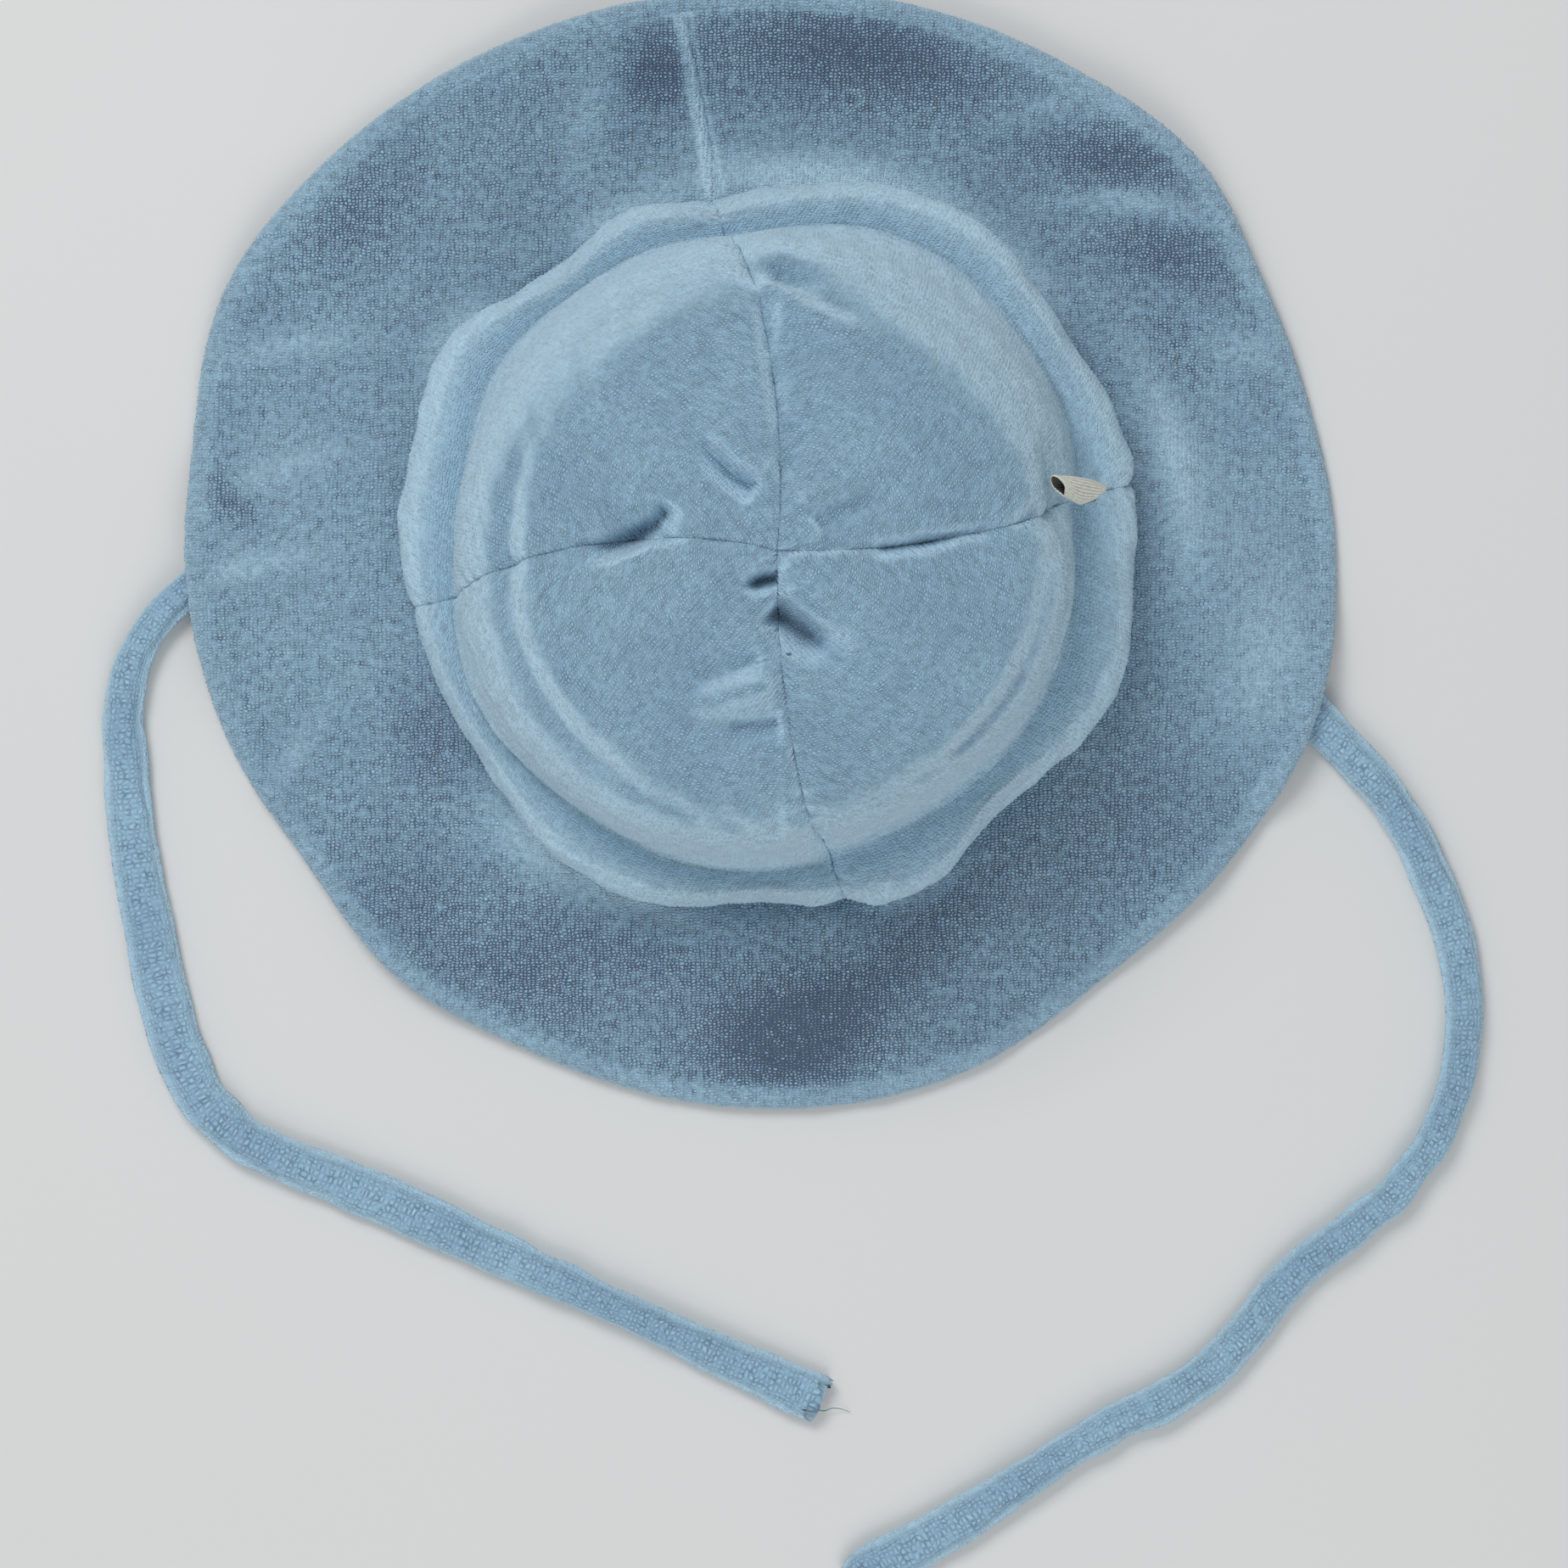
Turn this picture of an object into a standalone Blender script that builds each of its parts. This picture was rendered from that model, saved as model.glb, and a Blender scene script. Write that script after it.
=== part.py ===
"""A child's soft terry sun hat, lying brim down on a table.

Four sewn crown panels, a wide one-piece brim, two tubular ties that leave from under the brim, and a small folded
label in the side seam. Metres, +Z up. The origin is on the table, below the middle of the brim's outline. The front
is towards -Y. Left and right are as seen from above with the front nearest, so +X is right. Angles are in degrees,
from +X towards +Y.
"""

import math
from typing import NamedTuple

import bmesh
import bpy
import numpy as np

# Driving sizes
HEAD_RADIUS = 0.077  # seam between crown and brim, to the crown's outer face
CROWN_HEIGHT = 0.066  # from that seam to the top
BRIM_WIDTH = 0.0527  # from that seam to the rim, on average
CROWN_WALL = 0.0024
BRIM_THICKNESS = 0.0030  # two layers of terry
TIE_WIDTH = 0.0098
TIE_THICKNESS = 0.0054
SEAM_GAP = 0.0003  # between two sewn pieces
TIE_CLEARANCE = 0.0004  # between a tie and the brim that lies over it
SEAM_DIP = 0.0009  # how far the crown's seams are drawn in
SEAM_DIP_REACH = 0.0032
LABEL_LENGTH = 0.0125  # along the seam
LABEL_STAND = 0.0058  # out of the seam
LABEL_BULGE = 0.0026  # across the loop
LABEL_TAPE = 0.0005
LABEL_LEAN = 58.0  # degrees, towards the back
LABEL_ALONG = 0.43  # share of the way up the seam
APEX_RADIUS = 0.0007  # where the four panels' points meet

# Where the middle of the crown lies, from the middle of the brim: it has slumped a little to the front
CROWN_FOOT_RIGHT = 0.0014
CROWN_FOOT_BACK = 0.0005
CROWN_TOP_RIGHT = 0.0036
CROWN_TOP_BACK = -0.0030

# Mesh fineness
PANEL_COLUMNS = 14
PANEL_ROWS = 26
BRIM_STEPS = 90
BRIM_ROWS = 7
RIM_ROUND_STEPS = 4
TIE_POINT_SPACING = 1.2  # in tie widths
TIE_BEVEL_RESOLUTION = 2
LABEL_ROUND_STEPS = 10

# Heights that follow from the sizes
BRIM_RISE = TIE_THICKNESS + 2.0 * TIE_CLEARANCE  # the brim's underside at the seam
SEAM_HEIGHT = BRIM_RISE + BRIM_THICKNESS + SEAM_GAP  # the crown's lower edge
BRIM_HOLE_RADIUS = HEAD_RADIUS - CROWN_WALL - SEAM_GAP


class Section(NamedTuple):
    """A ring of the crown: its radius in head radii and its height in crown heights."""

    name: str
    reach: float
    height: float


class SeamLine(NamedTuple):
    """The azimuth of one crown seam at four places on its way up."""

    name: str
    at_brim: float
    at_shoulder: float
    at_top: float
    at_apex: float


class Reach(NamedTuple):
    """One point of an outline or a ring that runs round the hat."""

    angle: float
    share: float


class WallFold(NamedTuple):
    """A soft dent or bulge of the crown's side. push is in head radii, along is a share of the way up."""

    name: str
    angle: float
    along: float
    half_angle: float
    half_along: float
    push: float


class TopFold(NamedTuple):
    """A crease or ridge of the crown's top, in plan: place, lengths and push in head radii from the apex."""

    name: str
    right: float
    back: float
    turn: float
    half_length: float
    half_width: float
    push: float


class BrimRing(NamedTuple):
    """The height of the brim's underside, in brim rises, at a share of the way to the rim."""

    name: str
    across: float
    rise: float


class BrimWave(NamedTuple):
    """A place where the brim stands off the table. lift is in brim widths."""

    name: str
    angle: float
    half_angle: float
    across: float
    half_across: float
    lift: float


class TiePoint(NamedTuple):
    """One point on the route of a tie, from the middle of the brim, in mean rim radii."""

    right: float
    back: float


CROWN_SECTIONS = (
    Section("seam", 1.000, 0.000),
    Section("seam_edge", 1.006, 0.024),
    Section("under_roll", 1.046, 0.085),
    Section("roll", 1.079, 0.182),
    Section("roll_crest", 1.046, 0.300),
    Section("roll_inner", 0.998, 0.312),
    Section("groove", 0.954, 0.318),
    Section("wall", 0.930, 0.410),
    Section("wall_middle", 0.921, 0.545),
    Section("shoulder_low", 0.908, 0.697),
    Section("shoulder", 0.862, 0.832),
    Section("shoulder_top", 0.770, 0.912),
    Section("top", 0.545, 0.968),
    Section("top_inner", 0.260, 0.992),
    Section("apex", 0.000, 1.000),
)

# The azimuths where each seam runs, and the shares of the way up where they are given
SEAM_KNOTS = (0.0, 0.47, 0.72, 1.0)
SEAM_LINES = (
    SeamLine("right", 10.0, 8.4, 4.0, -2.0),
    SeamLine("back", 99.8, 95.7, 91.0, 84.0),
    SeamLine("left", 190.2, 185.8, 177.0, 166.0),
    SeamLine("front", 283.3, 278.0, 274.0, 269.0),
)
PANEL_NAMES = (
    "crown_panel_back_right",
    "crown_panel_back_left",
    "crown_panel_front_left",
    "crown_panel_front_right",
)

# How far the slumped roll above the brim stands out, in head radii, and where it sits on the way up
ROLL_ALONG = 0.11
ROLL_HALF_ALONG = 0.085
ROLL_REACHES = (
    Reach(15.0, 0.017),
    Reach(38.0, 0.000),
    Reach(57.0, 0.057),
    Reach(76.0, 0.025),
    Reach(98.0, -0.045),
    Reach(113.0, -0.010),
    Reach(128.0, -0.050),
    Reach(148.0, 0.050),
    Reach(165.0, 0.006),
    Reach(173.0, 0.015),
    Reach(198.0, -0.024),
    Reach(216.0, -0.034),
    Reach(234.0, 0.022),
    Reach(252.0, 0.020),
    Reach(268.0, -0.038),
    Reach(281.0, -0.010),
    Reach(294.0, 0.032),
    Reach(312.0, -0.054),
    Reach(328.0, 0.000),
    Reach(340.0, 0.033),
    Reach(356.0, 0.000),
)

# How far the groove above the roll is drawn in (-) or filled (+)
GROOVE_ALONG = 0.240
GROOVE_HALF_ALONG = 0.070
GROOVE_REACHES = (
    Reach(2.0, -0.052),
    Reach(20.0, -0.004),
    Reach(45.0, 0.030),
    Reach(72.0, 0.036),
    Reach(92.0, -0.008),
    Reach(115.0, 0.004),
    Reach(140.0, 0.014),
    Reach(177.0, -0.032),
    Reach(204.0, 0.030),
    Reach(240.0, -0.004),
    Reach(269.0, 0.024),
    Reach(292.0, -0.020),
    Reach(315.0, 0.000),
    Reach(335.0, -0.024),
    Reach(350.0, -0.045),
)

# How far the side and the shoulder above the groove are drawn in
SIDE_ALONG = 0.380
SIDE_HALF_ALONG = 0.150
SIDE_REACHES = (
    Reach(0.0, -0.034),
    Reach(20.0, -0.018),
    Reach(52.0, -0.026),
    Reach(92.0, -0.010),
    Reach(120.0, -0.018),
    Reach(180.0, 0.000),
    Reach(225.0, 0.006),
    Reach(245.0, 0.000),
    Reach(260.0, -0.026),
    Reach(276.0, -0.052),
    Reach(294.0, -0.080),
    Reach(312.0, -0.078),
    Reach(332.0, -0.055),
    Reach(346.0, -0.042),
)

WALL_FOLDS = (
    WallFold("label_hollow", 3.0, 0.33, 9.0, 0.080, -0.026),
    WallFold("label_slope", 11.0, 0.47, 11.0, 0.060, -0.048),
    WallFold("back_right_slope", 50.0, 0.50, 30.0, 0.075, -0.046),
    WallFold("back_left_slope", 124.0, 0.50, 22.0, 0.070, -0.034),
    WallFold("back_notch", 101.0, 0.20, 5.0, 0.110, -0.020),
    WallFold("back_left_notch", 128.5, 0.16, 5.0, 0.090, -0.024),
    WallFold("left_upper_ridge", 178.0, 0.60, 12.0, 0.026, 0.016),
    WallFold("left_upper_hollow", 174.0, 0.55, 14.0, 0.024, -0.016),
    WallFold("front_left_ridge", 216.0, 0.59, 22.0, 0.030, 0.014),
    WallFold("front_left_hollow", 216.0, 0.53, 24.0, 0.026, -0.014),
    WallFold("front_notch", 269.0, 0.19, 6.0, 0.080, -0.016),
    WallFold("front_right_notch", 312.0, 0.18, 7.0, 0.090, -0.022),
)

TOP_FOLDS = (
    TopFold("front_crease", 0.098, -0.252, -39.0, 0.160, 0.050, -0.066),
    TopFold("front_right_lobe", 0.170, -0.110, -32.0, 0.160, 0.100, 0.024),
    TopFold("left_pinch", -0.060, -0.080, 8.0, 0.065, 0.036, -0.036),
    TopFold("back_left_crease", -0.086, 0.190, -42.0, 0.110, 0.040, -0.026),
    TopFold("left_seam_step", -0.410, 0.066, 18.0, 0.150, 0.048, -0.040),
    TopFold("left_seam_lip", -0.400, -0.030, 16.0, 0.160, 0.050, 0.014),
    TopFold("right_seam_hollow", 0.440, 0.056, 12.0, 0.160, 0.050, -0.024),
    TopFold("front_ridge", -0.108, -0.385, 18.0, 0.150, 0.040, 0.022),
    TopFold("front_hollow", -0.070, -0.500, 0.0, 0.140, 0.052, -0.028),
    TopFold("back_hollow", 0.045, 0.580, -15.0, 0.120, 0.075, -0.022),
    TopFold("back_edge_hollow", 0.010, 0.800, -15.0, 0.130, 0.042, -0.028),
    TopFold("back_edge_ridge", 0.040, 0.705, -22.0, 0.150, 0.036, 0.014),
    TopFold("right_back_hollow", 0.230, 0.160, 22.0, 0.150, 0.062, -0.018),
    TopFold("left_front_hollow", -0.180, -0.260, 30.0, 0.170, 0.090, -0.025),
    TopFold("left_back_hollow", -0.320, 0.140, 58.0, 0.080, 0.050, -0.018),
)

BRIM_RINGS = (
    BrimRing("hole", -0.04, 1.00),
    BrimRing("seam", 0.08, 1.00),
    BrimRing("slope", 0.24, 0.62),
    BrimRing("middle", 0.45, 0.20),
    BrimRing("outer", 0.70, 0.00),
    BrimRing("rim", 1.04, 0.00),
)

# The rim's distance from the middle, in mean rim radii
RIM_REACHES = (
    Reach(0.0, 1.012),
    Reach(15.0, 0.998),
    Reach(29.0, 1.004),
    Reach(41.0, 1.031),
    Reach(56.0, 1.012),
    Reach(75.0, 0.994),
    Reach(90.0, 0.986),
    Reach(105.0, 0.991),
    Reach(125.0, 1.016),
    Reach(140.0, 1.037),
    Reach(155.0, 1.057),
    Reach(170.0, 1.026),
    Reach(185.0, 1.017),
    Reach(200.0, 1.004),
    Reach(214.0, 0.979),
    Reach(230.0, 0.994),
    Reach(243.0, 0.978),
    Reach(265.0, 0.985),
    Reach(290.0, 0.989),
    Reach(310.0, 0.967),
    Reach(325.0, 0.988),
    Reach(341.0, 1.016),
)

BRIM_WAVES = (
    BrimWave("back_curl", 84.0, 30.0, 1.05, 0.42, 0.115),
    BrimWave("back_right_ripple", 46.0, 9.0, 0.92, 0.40, 0.060),
    BrimWave("right_ripple", 29.0, 8.0, 0.80, 0.30, 0.034),
    BrimWave("back_left_ripple", 107.0, 8.0, 0.95, 0.34, 0.048),
    BrimWave("left_back_ripple", 147.0, 9.0, 1.00, 0.36, 0.060),
    BrimWave("right_ring", 8.0, 34.0, 0.36, 0.13, 0.030),
    BrimWave("front_left_ripple", 226.0, 12.0, 0.95, 0.40, 0.050),
    BrimWave("front_hump", 266.0, 30.0, 0.44, 0.34, 0.125),
    BrimWave("front_right_hump", 310.0, 14.0, 0.30, 0.24, 0.040),
    BrimWave("front_right_ripple", 322.0, 10.0, 0.95, 0.30, 0.034),
)

# The ties' routes on the table, sewn end first
TIE_ROUTES = {
    "tie_left": (
        TiePoint(-0.617, 0.023),
        TiePoint(-0.709, 0.032),
        TiePoint(-0.810, 0.031),
        TiePoint(-0.910, 0.000),
        TiePoint(-0.995, -0.054),
        TiePoint(-1.068, -0.123),
        TiePoint(-1.114, -0.204),
        TiePoint(-1.129, -0.287),
        TiePoint(-1.124, -0.378),
        TiePoint(-1.113, -0.513),
        TiePoint(-1.086, -0.660),
        TiePoint(-1.054, -0.807),
        TiePoint(-1.002, -0.948),
        TiePoint(-0.948, -1.016),
        TiePoint(-0.879, -1.062),
        TiePoint(-0.759, -1.111),
        TiePoint(-0.621, -1.171),
        TiePoint(-0.486, -1.234),
        TiePoint(-0.348, -1.296),
        TiePoint(-0.212, -1.359),
        TiePoint(-0.076, -1.423),
        TiePoint(0.096, -1.500),
    ),
    "tie_right": (
        TiePoint(0.626, 0.015),
        TiePoint(0.717, -0.031),
        TiePoint(0.810, -0.116),
        TiePoint(0.898, -0.216),
        TiePoint(0.995, -0.312),
        TiePoint(1.059, -0.380),
        TiePoint(1.108, -0.437),
        TiePoint(1.180, -0.568),
        TiePoint(1.230, -0.709),
        TiePoint(1.241, -0.860),
        TiePoint(1.206, -1.006),
        TiePoint(1.123, -1.130),
        TiePoint(1.008, -1.227),
        TiePoint(0.950, -1.272),
        TiePoint(0.899, -1.328),
        TiePoint(0.853, -1.386),
        TiePoint(0.801, -1.442),
        TiePoint(0.741, -1.487),
        TiePoint(0.608, -1.553),
        TiePoint(0.480, -1.633),
        TiePoint(0.353, -1.715),
        TiePoint(0.150, -1.827),
    ),
}
TIE_FINE_STEP = 0.001
TUNNEL_FLAT = 0.0060  # half width of the brim's hump over a tie, before it falls
TUNNEL_FALL = 0.0150

TERRY_COLOUR = (0.30, 0.46, 0.58, 1.0)
TAPE_COLOUR = (0.78, 0.76, 0.68, 1.0)


def smooth_curve(knots, values, at):
    """The cubic curve through values at the knots, with each tangent taken from its neighbours."""
    knots = np.asarray(knots, float)
    values = np.asarray(values, float)
    slopes = np.gradient(values, knots)
    i = np.clip(np.searchsorted(knots, at) - 1, 0, len(knots) - 2)
    span = knots[i + 1] - knots[i]
    f = (at - knots[i]) / span
    start = (1 + 2 * f) * (1 - f) ** 2 * values[i] + f * (1 - f) ** 2 * span * slopes[i]
    end = f**2 * (3 - 2 * f) * values[i + 1] - f**2 * (1 - f) * span * slopes[i + 1]
    return start + end


def round_curve(reaches, angles):
    """The closed curve through a table of Reach rows, read at the angles."""
    knots = np.array([row.angle for row in reaches])
    shares = np.array([row.share for row in reaches])
    knots = np.concatenate([knots - 360.0, knots, knots + 360.0])
    return smooth_curve(knots, np.tile(shares, 3), np.mod(angles, 360.0))


def bell(distance, half_width):
    """1 at no distance, falling smoothly to about a third at the half width."""
    return np.exp(-((distance / half_width) ** 2))


def turn_between(angles, centre):
    """The signed angle in degrees from the centre to each of the angles."""
    return np.mod(angles - centre + 180.0, 360.0) - 180.0


def smooth_step(value):
    """0 below 0, 1 above 1, and smooth between."""
    value = np.clip(value, 0.0, 1.0)
    return value * value * (3.0 - 2.0 * value)


def section_lengths():
    """The crown sections' places along the wall, as shares of its length, and that length in metres."""
    reach = np.array([row.reach for row in CROWN_SECTIONS]) * HEAD_RADIUS
    height = np.array([row.height for row in CROWN_SECTIONS]) * CROWN_HEIGHT
    along = np.concatenate([[0.0], np.cumsum(np.hypot(np.diff(reach), np.diff(height)))])
    return along / along[-1], along[-1]


def crown_profile(along):
    """The crown's radius and height, and its outward normal's two parts, at shares of the way up."""
    knots, _ = section_lengths()
    reach = np.array([row.reach for row in CROWN_SECTIONS]) * HEAD_RADIUS
    height = np.array([row.height for row in CROWN_SECTIONS]) * CROWN_HEIGHT
    step = 1e-3
    before = np.clip(along - step, 0.0, 1.0)
    after = np.clip(along + step, 0.0, 1.0)
    outward = smooth_curve(knots, reach, after) - smooth_curve(knots, reach, before)
    upward = smooth_curve(knots, height, after) - smooth_curve(knots, height, before)
    length = np.hypot(outward, upward)
    radius = smooth_curve(knots, reach, along)
    return radius, smooth_curve(knots, height, along), upward / length, -outward / length


def seam_angle(index, along):
    """The azimuth of a seam at shares of the way up. The index may run past the last seam, by a full turn."""
    line = SEAM_LINES[index % len(SEAM_LINES)]
    turns = 360.0 * (index // len(SEAM_LINES))
    return smooth_curve(SEAM_KNOTS, line[1:], along) + turns


def outer_face(angles, along):
    """Points of the crown's outer face, folds and all, at azimuths and shares of the way up."""
    radius, height, normal_out, normal_up = crown_profile(along)
    radius = radius + HEAD_RADIUS * (
        round_curve(ROLL_REACHES, angles) * bell(along - ROLL_ALONG, ROLL_HALF_ALONG)
        + round_curve(GROOVE_REACHES, angles) * bell(along - GROOVE_ALONG, GROOVE_HALF_ALONG)
        + round_curve(SIDE_REACHES, angles) * bell(along - SIDE_ALONG, SIDE_HALF_ALONG)
    ) * smooth_step(along / ROLL_ALONG)
    heading = np.radians(angles)
    plan_right = radius * np.cos(heading)
    plan_back = radius * np.sin(heading)

    push = np.zeros_like(radius)
    for fold in WALL_FOLDS:
        across = bell(turn_between(angles, fold.angle), fold.half_angle)
        push += fold.push * HEAD_RADIUS * across * bell(along - fold.along, fold.half_along)
    for fold in TOP_FOLDS:
        turn = math.radians(fold.turn)
        right = plan_right / HEAD_RADIUS - fold.right
        back = plan_back / HEAD_RADIUS - fold.back
        lengthwise = right * math.cos(turn) + back * math.sin(turn)
        crosswise = back * math.cos(turn) - right * math.sin(turn)
        fade = smooth_step((along - 0.40) / 0.12)
        shape = bell(lengthwise, fold.half_length) * bell(crosswise, fold.half_width)
        push += fold.push * HEAD_RADIUS * shape * fade
    for index in range(len(SEAM_LINES)):
        off_seam = np.radians(turn_between(angles, seam_angle(index, along))) * radius
        push -= SEAM_DIP * bell(off_seam, SEAM_DIP_REACH)
    push *= smooth_step(along / ROLL_ALONG)

    lean = height / CROWN_HEIGHT
    middle_right = CROWN_FOOT_RIGHT + (CROWN_TOP_RIGHT - CROWN_FOOT_RIGHT) * lean
    middle_back = CROWN_FOOT_BACK + (CROWN_TOP_BACK - CROWN_FOOT_BACK) * lean
    return np.stack(
        [
            middle_right + plan_right + push * normal_out * np.cos(heading),
            middle_back + plan_back + push * normal_out * np.sin(heading),
            SEAM_HEIGHT + height + push * normal_up,
        ],
        axis=-1,
    )


def rim_radius(angles):
    """The distance of the rim from the middle of the brim."""
    return (HEAD_RADIUS + BRIM_WIDTH) * round_curve(RIM_REACHES, angles)


def rim_middle():
    """The middle of the box round the rim's outline, which is taken as the origin."""
    angles = np.arange(0.0, 360.0, 0.5)
    heading = np.radians(angles)
    right = rim_radius(angles) * np.cos(heading)
    back = rim_radius(angles) * np.sin(heading)
    return (right.min() + right.max()) / 2.0, (back.min() + back.max()) / 2.0


def tie_line(route):
    """A smooth line of closely spaced points through a tie's route."""
    points = np.array(route) * (HEAD_RADIUS + BRIM_WIDTH)
    along = np.concatenate([[0.0], np.cumsum(np.linalg.norm(np.diff(points, axis=0), axis=1))])
    at = np.linspace(0.0, along[-1], math.ceil(along[-1] / TIE_FINE_STEP) + 1)
    return np.stack([smooth_curve(along, points[:, axis], at) for axis in range(2)], axis=-1)


def tunnel_height(right, back):
    """The height that the brim's underside needs to clear the ties below it."""
    needed = np.zeros_like(right)
    for route in TIE_ROUTES.values():
        line = tie_line(route)
        nearest = np.full_like(right, np.inf)
        for point in line[:: round(TIE_WIDTH / 4.0 / TIE_FINE_STEP)]:
            nearest = np.minimum(nearest, np.hypot(right - point[0], back - point[1]))
        fall = 1.0 - smooth_step((nearest - TUNNEL_FLAT) / TUNNEL_FALL)
        needed = np.maximum(needed, BRIM_RISE * fall)
    return needed


def brim_point(angles, across, side):
    """Points of the brim: side is 0 on its underside and 1 on its top."""
    middle_right, middle_back = rim_middle()
    heading = np.radians(angles)
    reach = HEAD_RADIUS + (rim_radius(angles) - HEAD_RADIUS) * across
    hole = np.clip(across, 0.0, 1.0)
    right = CROWN_FOOT_RIGHT + (-middle_right - CROWN_FOOT_RIGHT) * hole + reach * np.cos(heading)
    back = CROWN_FOOT_BACK + (-middle_back - CROWN_FOOT_BACK) * hole + reach * np.sin(heading)

    rise = smooth_curve([r.across for r in BRIM_RINGS], [r.rise for r in BRIM_RINGS], across)
    under = BRIM_RISE * rise
    for wave in BRIM_WAVES:
        shape = bell(turn_between(angles, wave.angle), wave.half_angle)
        under += wave.lift * BRIM_WIDTH * shape * bell(across - wave.across, wave.half_across) * (
            smooth_step((across - 0.06) / 0.12)
        )
    under = np.maximum(np.maximum(under, tunnel_height(right, back)), 0.0)
    return np.stack([right, back, under + side * BRIM_THICKNESS], axis=-1)


def new_material(name, colour, roughness):
    """A plain material of one colour."""
    material = bpy.data.materials.new(name)
    material.use_nodes = True
    shader = material.node_tree.nodes["Principled BSDF"]
    shader.inputs["Base Color"].default_value = colour
    shader.inputs["Roughness"].default_value = roughness
    shader.inputs["Metallic"].default_value = 0.0
    return material


def new_object(name, data, material):
    """An object in the scene for a mesh or a curve."""
    obj = bpy.data.objects.new(name, data)
    obj.data.materials.append(material)
    bpy.context.scene.collection.objects.link(obj)
    return obj


def mesh_object(name, body, material):
    """An object for a finished bmesh, smooth shaded."""
    mesh = bpy.data.meshes.new(name)
    body.to_mesh(mesh)
    body.free()
    mesh.shade_smooth()
    return new_object(name, mesh, material)


def make_panel(index, material):
    """One crown panel: a grid that runs from seam to seam and from the brim to the apex, given its thickness."""
    body = bmesh.new()
    bmesh.ops.create_grid(body, x_segments=PANEL_COLUMNS, y_segments=PANEL_ROWS, size=0.5)
    flat = np.array([vertex.co for vertex in body.verts]) + 0.5
    _, wall_length = section_lengths()
    along = flat[:, 1] * (1.0 - APEX_RADIUS / wall_length)
    radius = crown_profile(along)[0]
    edge_turn = np.degrees(0.5 * SEAM_GAP / radius)
    first = seam_angle(index, along) + edge_turn
    last = seam_angle(index + 1, along) - edge_turn
    points = outer_face(first + (last - first) * flat[:, 0], along)
    for vertex, point in zip(body.verts, points):
        vertex.co = point
    bmesh.ops.recalc_face_normals(body, faces=body.faces[:])
    if sum((face.normal.z for face in body.faces)) < 0.0:
        bmesh.ops.reverse_faces(body, faces=body.faces[:])
    panel = mesh_object(PANEL_NAMES[index], body, material)
    wall = panel.modifiers.new("wall", "SOLIDIFY")
    wall.thickness = CROWN_WALL
    wall.offset = -1.0
    wall.use_even_offset = False
    return panel


def brim_section():
    """The outline of a cut through the brim, as (across, side) pairs, with a round rim."""
    inner = (BRIM_HOLE_RADIUS - HEAD_RADIUS) / BRIM_WIDTH
    round_reach = 0.5 * BRIM_THICKNESS / BRIM_WIDTH
    shares = np.linspace(0.0, 1.0, BRIM_ROWS + 1)
    flat = inner + (1.0 - round_reach - inner) * shares
    top = [(across, 1.0) for across in flat]
    turns = np.pi * np.arange(1, RIM_ROUND_STEPS) / RIM_ROUND_STEPS
    rim = [(1.0 - round_reach + round_reach * math.sin(t), 0.5 + 0.5 * math.cos(t)) for t in turns]
    under = [(across, 0.0) for across in flat[::-1]]
    return top + rim + under


def make_brim(material):
    """The brim: its section is turned into a flat ring, and the ring is then shaped to its outline and waves."""
    body = bmesh.new()
    outline = [body.verts.new((across + 1.0, 0.0, side)) for across, side in brim_section()]
    edges = [body.edges.new(pair) for pair in zip(outline, outline[1:] + outline[:1])]
    bmesh.ops.spin(
        body,
        geom=outline + edges,
        cent=(0.0, 0.0, 0.0),
        axis=(0.0, 0.0, 1.0),
        angle=2.0 * math.pi,
        steps=BRIM_STEPS,
        use_merge=True,
    )
    blank = np.array([vertex.co for vertex in body.verts])
    angles = np.degrees(np.arctan2(blank[:, 1], blank[:, 0]))
    across = np.hypot(blank[:, 0], blank[:, 1]) - 1.0
    for vertex, point in zip(body.verts, brim_point(angles, across, blank[:, 2])):
        vertex.co = point
    bmesh.ops.recalc_face_normals(body, faces=body.faces[:])
    return mesh_object("brim", body, material)


def make_tie(name, route, material):
    """A tie: a tube along its route on the table, flattened by its object's scale."""
    line = tie_line(route)
    stride = round(TIE_POINT_SPACING * TIE_WIDTH / TIE_FINE_STEP)
    count = max(2, round(len(line) / stride))
    picked = line[np.linspace(0, len(line) - 1, count).round().astype(int)]
    curve = bpy.data.curves.new(name, "CURVE")
    curve.dimensions = "3D"
    curve.bevel_depth = TIE_WIDTH / 2.0
    curve.bevel_resolution = TIE_BEVEL_RESOLUTION
    curve.use_fill_caps = True
    spline = curve.splines.new("POLY")
    spline.points.add(len(picked) - 1)
    for point, (right, back) in zip(spline.points, picked):
        point.co = (right, back, 0.0, 1.0)
    tie = new_object(name, curve, material)
    tie.scale = (1.0, 1.0, TIE_THICKNESS / TIE_WIDTH)
    tie.location = (0.0, 0.0, TIE_THICKNESS / 2.0)
    return tie


def label_section():
    """The outline of a cut across the folded label, outer side then inner side, from its sewn edge up."""
    outer = []
    inner = []
    for i in range(LABEL_ROUND_STEPS + 1):
        turn = math.pi * (2.0 * i / LABEL_ROUND_STEPS - 1.0)
        narrowing = 0.5 + 0.5 * math.cos(turn / 2.0) ** 0.7
        across = math.sin(turn) * narrowing
        up = 0.5 + 0.5 * math.cos(turn)
        outer.append((0.5 * LABEL_BULGE * across, LABEL_STAND * up))
        within = 0.5 * LABEL_BULGE - LABEL_TAPE
        inner.append((within * across, LABEL_TAPE + (LABEL_STAND - 2.0 * LABEL_TAPE) * up))
    return outer[:-1], inner[:-1]


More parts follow.
